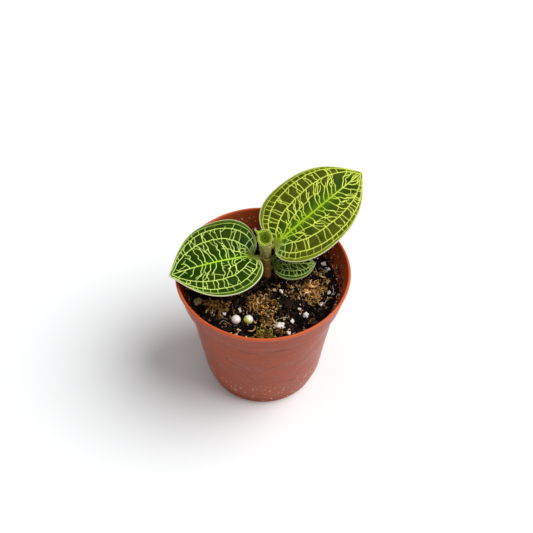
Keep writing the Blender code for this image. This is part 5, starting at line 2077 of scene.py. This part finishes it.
@dataclass
class Soil:
    """Peat in the pot, with crumbs, slivers, fibres and white grit strewn on its top."""

    ground: Ground
    rings: int = 120
    segments: int = 300
    patch_count: int = 64

    def body(self) -> Thing:
        """Closed body of peat with a broken top."""
        sides = ((18.6 * MM, POT_FLOOR + 0.3 * MM), (20.35 * MM, FOOT_HEIGHT),
                 (25.15 * MM, SOIL_LEVEL - 0.8 * MM), (25.35 * MM, SOIL_LEVEL - 0.3 * MM))
        points = [(0.0, 0.0, POT_FLOOR + 0.3 * MM), (0.0, 0.0, self.ground.rough_height(0.0, 0.0))]
        radii = [SOIL_TOP_RADIUS * (index / self.rings) ** 0.85 for index in range(self.rings, 0, -1)]
        levels = [*sides, *((radius, None) for radius in radii)]
        for radius, height in levels:
            for angle in turns(self.segments):
                x, y = radius * math.cos(angle), radius * math.sin(angle)
                points.append((x, y, self.ground.rough_height(x, y) if height is None else height))
        last = 2 + (len(levels) - 1) * self.segments
        faces = skin(2, len(levels), self.segments)
        for index in range(self.segments):
            after = (index + 1) % self.segments
            faces += [[0, 2 + after, 2 + index], [1, last + index, last + after]]
        mesh = closed_mesh("soil_fine", points, faces)
        heights = np.array([point[2] for point in points])
        keep_numbers(mesh, "tint", smooth(heights, SOIL_LEVEL - 0.4 * MM, SOIL_LEVEL + 1.2 * MM) * 0.5)
        return show("soil_fine", mesh, Finish.PEAT.paint())

    def patch(self, reach: float, room: Callable[[float, float], float]) -> Thing:
        """Open sheet that follows the soil's top, with a share of room at each point, as a scatter's host.

        Args:
            reach: Radius that pieces may lie in, in metres.
            room: Share of room at a place.

        Returns:
            The sheet.
        """
        count = self.patch_count
        points = []
        shares = []
        for row in range(count + 1):
            for column in range(count + 1):
                x, y = (2.0 * column / count - 1.0) * reach, (2.0 * row / count - 1.0) * reach
                far = math.hypot(x, y)
                ledge = 0.75 * MM * float(smooth(far, 25.2 * MM, 25.9 * MM))
                points.append((x, y, self.ground.height(x, y) + ledge))
                shares.append(float(smooth(far, reach, reach - 0.5 * MM)) * room(x, y))
        lows = [row * (count + 1) + column for row in range(count) for column in range(count)]
        mesh = plain_mesh("patch", points, [[low, low + 1, low + count + 2, low + count + 1] for low in lows])
        keep_numbers(mesh, "room", shares)
        return show("patch", mesh)

    def strewn(self, scatter: Recipe, kind: Litter, meshes: Iterable[Mesh],
               room: Callable[[float, float], float] = lambda x, y: 1.0) -> Thing:
        """One kind of litter on the peat, with its share of room at each place.

        Args:
            scatter: Recipe that strews small pieces.
            kind: Row of the table of litter.
            meshes: Shapes that are strewn.
            room: Share of room from 0 to 1 at a place.

        Returns:
            The litter as one object.
        """
        return strew(scatter, kind.name, self.patch(kind.reach * MM, room), meshes, kind.finish,
                     Density=kind.density, Smallest=kind.smallest, Largest=kind.largest, Tilt=kind.tilt,
                     Lift=kind.lift * MM, Seed=kind.seed, Keep_Ground=False, Smooth=kind.smooth)

    def build(self, scatter: Recipe) -> None:
        """Build the peat and what is strewn on it, and hand both in.

        Args:
            scatter: Recipe that strews small pieces.
        """
        hand_in(self.body(), "peat", "soil")
        draw = random.Random(SEED + 1)
        crumbs = [shard(draw, (0.55, 0.45, 0.4), 9) for _ in range(6)]
        chips = [shard(draw, (1.25, 0.5, 0.24), 9) for _ in range(6)]
        scraps = [curl(draw, draw.uniform(2.0, 4.4), draw.uniform(0.26, 0.44), 1.5, 0.35) for _ in range(5)]
        scraps += [sprig(draw, 2.6 + 0.4 * size) for size in range(4)]
        fibres = [curl(draw, 4.2, 0.09, 1.2, 1.0) for _ in range(5)]
        grit = [shard(draw, (0.42, 0.36, 0.32), 10) for _ in range(5)]
        litter = [self.strewn(scatter, kind, meshes)
                  for kind, meshes in ((CRUMBS, crumbs), (CHIPS, chips), (FIBRES, fibres))]
        hand_in(join("peat_litter", litter), "peat")
        hand_in(self.strewn(scatter, SCRAPS, scraps, self.scrap_room), "moss_brown")
        hand_in(self.strewn(scatter, GRIT, grit, self.grit_room), "perlite")

    @staticmethod
    def scrap_room(x: float, y: float) -> float:
        """Moss scraps lie in drifts between the clumps.

        Args:
            x: Place across.
            y: Place in depth.

        Returns:
            The share of room there.
        """
        drift = float(smooth(noise.noise(Vector((x, y, 0.0)) / (5.0 * MM)), 0.0, 0.4))
        near = [math.hypot(x - spot_x * MM, y - spot_y * MM) for spot_x, spot_y in DRIFTS]
        return 0.06 + 0.3 * drift + max(float(smooth(gap, 7.0 * MM, 3.0 * MM)) for gap in near)

    @staticmethod
    def grit_room(x: float, y: float) -> float:
        """White grit lies mostly at the right and the front."""
        return float(0.15 + 1.1 * smooth(x, -2.0 * MM, 14.0 * MM)) * (1.0 if y < 8.0 * MM else 0.5)


@dataclass
class Clump:
    """Clump of dry moss: a low dome with curled strands and sprigs, sizes in millimetres."""

    name: str
    x: float
    y: float
    reach_x: float
    reach_y: float
    finish: Finish
    slot: str
    crowd: float = 1.6e6
    dome: float = 1.0
    seed: int = 0
    rings: int = 26
    segments: int = 60

    def mound(self, ground: Ground) -> Thing:
        """Lumpy closed dome that the strands stand on.

        Args:
            ground: The soil's surface.

        Returns:
            The dome.
        """
        rings, segments = self.rings, self.segments
        points = []
        room = []
        for ring in range(1, rings + 1):
            share = ring / rings
            for angle in turns(segments):
                cosine, sine = math.cos(angle), math.sin(angle)
                ragged = 0.92 + 0.42 * noise.noise(Vector((2.2 * cosine, 2.2 * sine, self.x)))
                px = (self.x + self.reach_x * 0.86 * share * ragged * cosine) * MM
                py = (self.y + self.reach_y * 0.86 * share * ragged * sine) * MM
                swell = self.dome * (1.0 - share**2.4)
                lumps = rough_at(Vector((px, py, 0.0)), 1.1 * MM, 2) * 0.55 * (1.0 - share**4)
                points.append((px, py, ground.height(px, py) + (swell + lumps - 0.25) * MM))
                tuft = float(smooth(noise.noise(Vector((px, py, 0.0)) / (1.9 * MM)), -0.15, 0.3))
                room.append((0.25 + 1.05 * tuft) * (1.0 if share < 0.93 else 0.55))
        centre = len(points)
        x, y = self.x * MM, self.y * MM
        top = ground.height(x, y) + self.dome * MM
        points += [(x, y, top), (x, y, top - 2.2 * MM)]
        faces = []
        for step in range(segments):
            after = (step + 1) % segments
            faces.append([centre, step, after])
            for low in range(0, (rings - 1) * segments, segments):
                faces.append([low + step, low + segments + step, low + segments + after, low + after])
            edge = (rings - 1) * segments
            faces.append([centre + 1, edge + after, edge + step])
        mesh = closed_mesh(self.name + "_mound", points, faces)
        keep_numbers(mesh, "room", [*room, 1.0, 0.0])
        return show(self.name + "_mound", mesh)

    def build(self, scatter: Recipe, ground: Ground) -> None:
        """Build the clump and hand it in.

        Args:
            scatter: Recipe that strews small pieces.
            ground: The soil's surface.
        """
        draw = random.Random(self.name)
        meshes = [curl(draw, draw.uniform(3.2, 5.8), draw.uniform(0.45, 0.72), 1.6, 0.34) for _ in range(9)]
        meshes += [sprig(draw, draw.uniform(3.0, 4.6)) for _ in range(5)]
        piece = strew(scatter, self.name + "_fine", self.mound(ground), meshes, self.finish,
                      Density=self.crowd, Smallest=0.55, Largest=1.25, Tilt=0.75, Lift=0.5 * MM,
                      Seed=self.seed, Keep_Ground=True, Smooth=True)
        hand_in(piece, self.slot, self.name)


@dataclass
class LooseBits:
    """Perlite grains, feed prills and bark chips, each at its own place on the soil, in millimetres."""

    ground: Ground
    fineness: int = 5
    perlite: tuple[Three, ...] = (
        (5.7, -17.8, 1.75), (14.5, -13.4, 1.2), (9.9, -15.6, 1.0), (8.6, -20.6, 0.9), (21.4, 10.1, 1.15),
        (23.2, 7.6, 0.95), (6.4, -3.2, 1.15), (12.4, -10.6, 0.75), (20.0, -8.2, 0.95), (22.8, -3.6, 0.8),
        (-8.0, -11.2, 0.9), (-13.1, -12.6, 0.8), (-22.3, -7.6, 1.7), (-7.0, 13.5, 1.2), (8.5, 17.5, 1.4),
        (-19.5, 9.5, 1.0))
    mossy: Share = (-22.3, -7.6)
    prills: tuple[Four, ...] = ((-9.1, -15.4, 1.6, 0.0), (-4.9, -15.3, 1.6, 1.0))
    bark: tuple[Four, ...] = (
        (-18.5, -3.0, 2.6, 30.0), (-12.2, -5.6, 2.2, 110.0), (9.2, -8.3, 2.3, 70.0),
        (17.5, -17.0, 2.1, 150.0), (-12.5, -19.8, 2.2, 15.0), (4.0, 12.0, 2.6, 40.0),
        (-12.0, 10.0, 2.4, 95.0), (15.0, 13.5, 2.6, 160.0), (-2.5, 20.5, 2.3, 5.0),
        (-21.5, 2.5, 2.0, 75.0), (14.0, 7.0, 2.0, 20.0))

    def lay(self, kind: str, index: int, middle: Vector, shape: Callable[[Vector], Vector], layer: str,
            number: Callable[[Vector], float], finish: Finish) -> None:
        """Shape a round start into a bit and hand it in.

        Args:
            kind: Kind of bit, which is its slot and the start of its name.
            index: Its place in the list of its kind.
            middle: Its middle in metres.
            shape: Gives each direction its point in millimetres.
            layer: Name of the number that its finish reads.
            number: Gives each direction that number.
            finish: Its finish.
        """
        name = "%s_%02d" % (kind, index + 1)
        work = bmesh.new()
        bmesh.ops.create_icosphere(work, subdivisions=self.fineness, radius=1.0)
        numbers = []
        for vert in work.verts:
            way = vert.co.normalized()
            numbers.append(number(way))
            vert.co = middle + shape(way) * MM
        mesh = set_down(work, bpy.data.meshes.new(name + "_fine"), False)
        mesh.shade_smooth()
        keep_numbers(mesh, layer, numbers)
        hand_in(show(name + "_fine", mesh, finish.paint()), kind, name)

    def grain(self, index: int, x: float, y: float, size: float) -> None:
        """One knobbly, pitted grain of perlite.

        Args:
            index: Its place in the list.
            x: Place to the right.
            y: Place to the back.
            size: Its largest half size.
        """
        turned = Matrix.Rotation(math.radians(47.0 * index), 3, "Z")
        shift = Vector((3.1 * index, 1.7 * index, 0.0))
        middle = self.ground.seat(x, y, 0.3 * size)
        draw = random.Random(SEED * 100 + index)
        lobes = []
        for lobe in range(9):
            turn = 2.4 * lobe + draw.uniform(-0.4, 0.4)
            off = draw.uniform(0.42, 0.62)
            lobes.append((Vector((off * math.cos(turn), off * math.sin(turn), 0.12 * lobe - 0.45)),
                          draw.uniform(0.38, 0.50)))

        def shape(way: Vector) -> Vector:
            """Point of the grain in a direction.

            Args:
                way: Direction of length one.

            Returns:
                The point.
            """
            reach = 0.66
            for lobe, radius in lobes:
                ahead = way.dot(lobe)
                inside = ahead * ahead - lobe.length_squared + radius**2
                if inside > 0.0:
                    reach = max(reach, ahead + math.sqrt(inside))
            pits = noise.voronoi(way * 3.6 + shift)[0][0]
            reach += 0.04 * noise.noise(way * 6.0 + shift) - 0.10 * float(smooth(pits, 0.30, 0.06))
            return turned @ (Vector((way.x * size, way.y * 0.78 * size, way.z * 0.7 * size)) * reach)

        tint = 1.0 if (x, y) == self.mossy else 0.9 - 0.3 * (index % 3 == 1)
        self.lay("perlite", index, middle, shape, "tint", lambda way: tint, Finish.PERLITE)

    def pellet(self, index: int, x: float, y: float, size: float, algae: float) -> None:
        """One round coated pellet, a little squashed.

        Args:
            index: Its place in the list.
            x: Place to the right.
            y: Place to the back.
            size: Its radius.
            algae: 1 where it has a green side, or 0.
        """
        middle = self.ground.seat(x, y, 0.45 * size)

        def shape(way: Vector) -> Vector:
            """Point of the pellet in a direction."""
            reach = size * (1.0 + 0.02 * noise.noise(way * 2.0 + Vector((index, 0.0, 0.0))))
            return Vector((way.x, way.y, way.z * 0.96)) * reach

        def green(way: Vector) -> float:
            """Share of algae in a direction."""
            return algae * float(smooth(-0.85 * way.x - 0.50 * way.y - 0.25 * way.z, -0.2, 0.3))

        self.lay("prill", index, middle, shape, "algae", green, Finish.PRILL)

    def chip(self, index: int, x: float, y: float, size: float, heading: float) -> None:
        """One flat bark chip with ridges along its grain.

        Args:
            index: Its place in the list.
            x: Place to the right.
            y: Place to the back.
            size: Its half length.
            heading: Direction of its length in degrees.
        """
        draw = random.Random(SEED * 200 + index)
        tilted = Matrix.Rotation(math.radians(draw.uniform(-12.0, 12.0)), 3, "X")
        turned = Matrix.Rotation(math.radians(heading), 3, "Z")
        middle = self.ground.seat(x, y, 0.15 * size)
        shift = Vector((0.0, 5.3 * index, 2.1 * index))

        def shape(way: Vector) -> Vector:
            """Point of the chip in a direction.

            Args:
                way: Direction of length one.

            Returns:
                The point.
            """
            reach = 0.98 / max(abs(way.x), abs(way.y), abs(way.z)) ** 0.85
            grain = noise.noise(Vector((way.x * 0.8, way.y * 4.5, way.z * 2.0)) + shift)
            reach *= 1.0 + 0.16 * grain + 0.12 * noise.noise(way * 3.0 + shift)
            reach += 0.06 * math.sin(9.0 * way.z + 3.0 * grain)
            spot = Vector((way.x * size, way.y * 0.5 * size, way.z * 0.3 * size)) * reach
            return turned @ (tilted @ spot)

        tint = 0.2 + 0.14 * (index % 4)
        self.lay("bark", index, middle, shape, "tint", lambda way: tint, Finish.BARK)

    def build(self) -> None:
        """Build every loose bit."""
        for make, places in ((self.grain, self.perlite), (self.pellet, self.prills), (self.chip, self.bark)):
            for index, spot in enumerate(places):
                make(index, *spot)


@dataclass
class Threads:
    """Root hairs, straws and one red needle that lie on the soil, in millimetres."""

    ground: Ground
    steps: int = 14
    lines: tuple[tuple[tuple[Share, ...], float, float, float], ...] = (
        (((3.9, -16.6), (4.6, -15.2), (6.2, -14.4), (8.6, -14.3)), 0.07, 0.9, 0.8),
        (((19.6, -9.4), (20.9, -8.2), (21.8, -6.6), (22.3, -5.2)), 0.09, 0.7, 0.8),
        (((-14.6, -17.3), (-14.0, -16.6), (-13.2, -15.8)), 0.14, 0.6, 0.12),
        (((-12.9, -15.9), (-11.8, -16.9), (-10.4, -17.7)), 0.08, 0.6, 0.25),
        (((-10.5, -8.6), (-10.3, -10.4), (-10.1, -12.4)), 0.13, 1.0, 1.0),
        (((24.0, -1.0), (24.4, -3.0), (23.6, -5.0)), 0.08, 0.9, 0.7),
        (((-14.8, -14.6), (-13.4, -14.9), (-11.8, -15.4)), 0.10, 0.7, 0.15),
    )

    def build(self, sweep: Recipe) -> None:
        """Build the threads as one piece and hand it in.

        Args:
            sweep: Recipe of round skins.
        """
        parts = []
        for route, radius, rise, tint in self.lines:
            spots = [self.ground.seat(x, y, rise) for x, y in route]
            path = []
            for index in range(self.steps + 1):
                reach = index / self.steps * (len(spots) - 1)
                low = min(int(reach), len(spots) - 2)
                path.append(spots[low].lerp(spots[low + 1], reach - low))
            for _ in range(3):
                path[1:-1] = [(a + b * 2.0 + c) / 4.0 for a, b, c in zip(path, path[1:], path[2:])]
            host = line_object("thread_path", path, np.full(len(path), radius * MM))
            thread = sweep.cook("thread", host, Sides=6, Grain_Depth=0.03 * MM, Grain_Size=0.5 * MM,
                                Material=Finish.THREAD.paint())
            keep_numbers(thread.data, "tint", np.full(len(thread.data.vertices), tint))
            parts.append(thread)
        hand_in(join("root_hairs", parts), "moss_tan")


@dataclass(frozen=True)
class Viewpoint:
    """Camera of the photograph, fitted to its 533 by 533 frame."""

    target_height: float = 52.0 * MM
    distance: float = 306.3 * MM
    elevation: float = 49.05
    focal_pixels: float = 900.0
    frame_pixels: float = 533.0
    shift_right: float = -3.476
    shift_up: float = 2.701
    roll: float = -0.0019
    sensor: float = 36.0

    def build(self) -> None:
        """Make the camera and set it as the scene's."""
        raised = math.radians(self.elevation)
        ahead = Vector((0.0, math.cos(raised), -math.sin(raised)))
        right = Vector((1.0, 0.0, 0.0))
        up = right.cross(ahead)
        spot = Vector((0.0, 0.0, self.target_height)) - ahead * self.distance
        lean = Matrix.Rotation(self.roll, 3, ahead)
        right, up = lean @ right, lean @ up
        swing = Matrix.Rotation(math.atan(self.shift_right / self.focal_pixels), 3, up)
        ahead, right = swing @ ahead, swing @ right
        nod = Matrix.Rotation(math.atan(self.shift_up / self.focal_pixels), 3, right)
        ahead, up = nod @ ahead, nod @ up
        data = bpy.data.cameras.new("camera")
        data.sensor_width = self.sensor
        data.lens = self.sensor * self.focal_pixels / self.frame_pixels
        data.clip_start = 0.01
        camera = place("camera", data)
        axes = Matrix((right, up, -ahead)).transposed().to_4x4()
        camera.matrix_world = Matrix.Translation(spot) @ axes
        bpy.context.scene.camera = camera


@dataclass(frozen=True)
class Studio:
    """White floor, one large soft light from the right and a pale surround."""

    floor_half: float = 3.0
    floor_shade: Colour = (0.928, 0.950, 0.956)
    key_strength: float = 2.86
    key_spread: float = 50.0
    overhead_strength: float = 0.62
    overhead_spread: float = 110.0
    key_height: float = 54.0
    key_turn: float = 0.0
    surround: float = 0.20
    backdrop: float = 1.0

    def build(self) -> None:
        """Make the floor, the lights and the surround, and set the view transform."""
        corners = [(-1.0, -1.0), (1.0, -1.0), (1.0, 1.0), (-1.0, 1.0)]
        mesh = plain_mesh("floor", [(x * self.floor_half, y * self.floor_half, 0.0) for x, y in corners],
                          [[0, 1, 2, 3]])
        paint = Paint("floor_white", 0.9)
        paint.colour(self.floor_shade)
        paint.gloss(0.1)
        show("floor", mesh, paint.material)
        high, turn = math.radians(self.key_height), math.radians(self.key_turn)
        toward = Vector((math.cos(high) * math.cos(turn), math.cos(high) * math.sin(turn), math.sin(high)))
        self.light("key", self.key_strength, self.key_spread, toward)
        self.light("overhead", self.overhead_strength, self.overhead_spread, Vector((0.0, 0.0, 1.0)))
        world = bpy.data.worlds.new("surround")
        world.use_nodes = True
        sky = Graph(world.node_tree)
        seen = sky.out(sky.add("ShaderNodeLightPath"), "Is Camera Ray")
        background = world.node_tree.nodes["Background"]
        background.inputs["Color"].default_value = (1.0, 1.0, 1.0, 1.0)
        sky.feed(background.inputs["Strength"], sky.math(
            "MULTIPLY_ADD", seen, self.backdrop - self.surround, self.surround))
        bpy.context.scene.world = world
        bpy.context.scene.view_settings.view_transform = "Standard"

    @staticmethod
    def light(name: str, strength: float, spread: float, toward: Vector) -> None:
        """Make one wide soft light that shines from a direction, its spread in degrees.

        Args:
            name: Name of the light.
            strength: Its strength.
            spread: Width of its disc in degrees.
            toward: Direction from the object to the light.
        """
        data = bpy.data.lights.new(name, "SUN")
        data.energy = strength
        data.angle = math.radians(spread)
        place(name, data).matrix_world = toward.to_track_quat("Z", "Y").to_matrix().to_4x4()


BIG_LEAF = Leaf(
    "leaf_big",
    Blade(41.3, 14.9, 13.2, 3.8, 5.1, 0.46, 0.23, 0.58, 1.19, 0.34, 8.3, 0.70, (4.23, 5.36, 58.78),
          35.1, 23.4, 25.7, 22.8, 0.12, 0.22, 0.06),
    NetPlan(14,
            ((0.05, 0.14), (0.14, 0.18), (0.22, 0.24), (0.34, 0.26), (0.44, 0.27), (0.52, 0.31)),
            ((0.02, 0.40), (0.12, 0.50), (0.27, 0.50), (0.45, 0.505), (0.55, 0.54), (0.68, 0.57),
             (0.80, 0.60), (0.90, 0.605), (0.94, 0.42), (0.965, 0.12)),
            ((0.02, 0.80), (0.10, 0.79), (0.18, 0.775), (0.30, 0.765), (0.40, 0.79), (0.50, 0.82),
             (0.60, 0.84), (0.72, 0.85), (0.82, 0.86), (0.90, 0.85), (0.95, 0.70)),
            ((0.04, 0.94), (0.15, 0.92), (0.26, 0.905), (0.36, 0.915), (0.48, 0.93), (0.60, 0.945),
             (0.72, 0.95))),
    Finish.LEAF_BIG, Finish.SHEATH, "leaf_olive", 0.155,
    53.6, 60.3, 57.2, 1.25, 0.85, 1.0, 2.6, 2.25, 1.75)

SIDE_LEAF = Leaf(
    "leaf_side",
    Blade(29.5, 14.35, 15.8, 4.0, 4.6, 0.18, 0.32, 1.16, 1.25, 0.32, 5.5, 0.54, (-3.51, 3.53, 54.72),
          198.1, 10.3, -9.3, 25.6, 0.20, 0.17, 0.15),
    NetPlan(34,
            ((0.06, 0.16), (0.16, 0.22), (0.28, 0.27), (0.38, 0.29)),
            ((0.02, 0.38), (0.12, 0.49), (0.30, 0.51), (0.50, 0.53), (0.68, 0.56), (0.82, 0.57),
             (0.90, 0.50), (0.955, 0.20)),
            ((0.02, 0.76), (0.12, 0.78), (0.30, 0.77), (0.50, 0.79), (0.68, 0.80), (0.80, 0.81),
             (0.90, 0.78), (0.95, 0.60)),
            ((0.04, 0.92), (0.18, 0.91), (0.34, 0.90), (0.52, 0.91), (0.68, 0.92), (0.80, 0.925)),
            1.95, 0.11, 2.1, 1.6, 0.125, 0.32, 0.3),
    Finish.LEAF_SIDE, Finish.SHEATH_LOW, "leaf_green", 0.150,
    48.3, 54.25, 51.9, 1.2, 0.85, 1.0, 2.4, 2.0, 1.55)

LOW_LEAF = Leaf(
    "leaf_low",
    Blade(15.3, 6.5, 6.5, 1.2, 0.9, 0.51, 0.52, 0.98, 0.95, 0.39, 1.9, 0.59, (3.6, 5.2, 47.64),
          9.1, 2.8, 4.7, 17.3, 0.14, 0.21, 0.11),
    NetPlan(8,
            ((0.10, 0.18), (0.24, 0.25)),
            ((0.02, 0.36), (0.12, 0.45), (0.40, 0.48), (0.70, 0.50), (0.86, 0.46), (0.95, 0.15)),
            ((0.02, 0.74), (0.14, 0.77), (0.45, 0.79), (0.75, 0.80), (0.88, 0.72), (0.94, 0.5)),
            ((0.06, 0.93), (0.20, 0.92)),
            1.3, 0.10, 1.3, 1.3, 0.100, 0.2, 0.3),
    Finish.LEAF_LOW, Finish.SHEATH_LOW, "leaf_green", 0.130,
    44.6, 49.0, 46.9, 0.9, 0.6, 0.6, 1.6, 1.8, 1.5)

CLUMPS = (
    Clump("moss_centre", -1.6, -7.8, 5.4, 4.4, Finish.MOSS_BROWN, "moss_brown", 1.6e6, 1.2, 1),
    Clump("moss_right", 16.6, -1.8, 5.2, 4.0, Finish.MOSS_TAN, "moss_tan", 1.7e6, 1.3, 2),
    Clump("moss_front", 0.6, -20.4, 3.3, 2.6, Finish.MOSS_GREEN, "moss_green", seed=3),
    Clump("moss_left", -17.4, -9.6, 2.7, 2.4, Finish.MOSS_BROWN, "moss_brown", seed=4),
    Clump("moss_back", 1.5, 15.5, 3.2, 2.6, Finish.MOSS_GREEN, "moss_green", seed=5),
)


def clear_start() -> None:
    """Remove the objects of Blender's own start file."""
    kept = set(frame["nodes"].values()) | set(frame["bodies"].values())
    for old in list(bpy.data.objects):
        if old not in kept:
            drop(old)


def main() -> None:
    """Build the scene piece by piece."""
    logging.basicConfig(level=logging.INFO, format="%(message)s")
    clear_start()
    Viewpoint().build()
    Studio().build()
    sweep = Sweep()
    relief = VeinRelief()
    scatter = Scatter()
    ground = Ground()
    Pot().build(Lathe())
    Soil(ground).build(scatter)
    for clump in CLUMPS:
        clump.build(scatter, ground)
    LooseBits(ground).build()
    Threads(ground).build(sweep)
    Stem().build(sweep)
    for leaf in (BIG_LEAF, SIDE_LEAF, LOW_LEAF):
        leaf.build(relief, sweep)
    RolledLeaf().build()
    for tree in (sweep, relief, scatter):
        bpy.data.node_groups.remove(tree.tree)


if __name__ == "__main__":
    main()
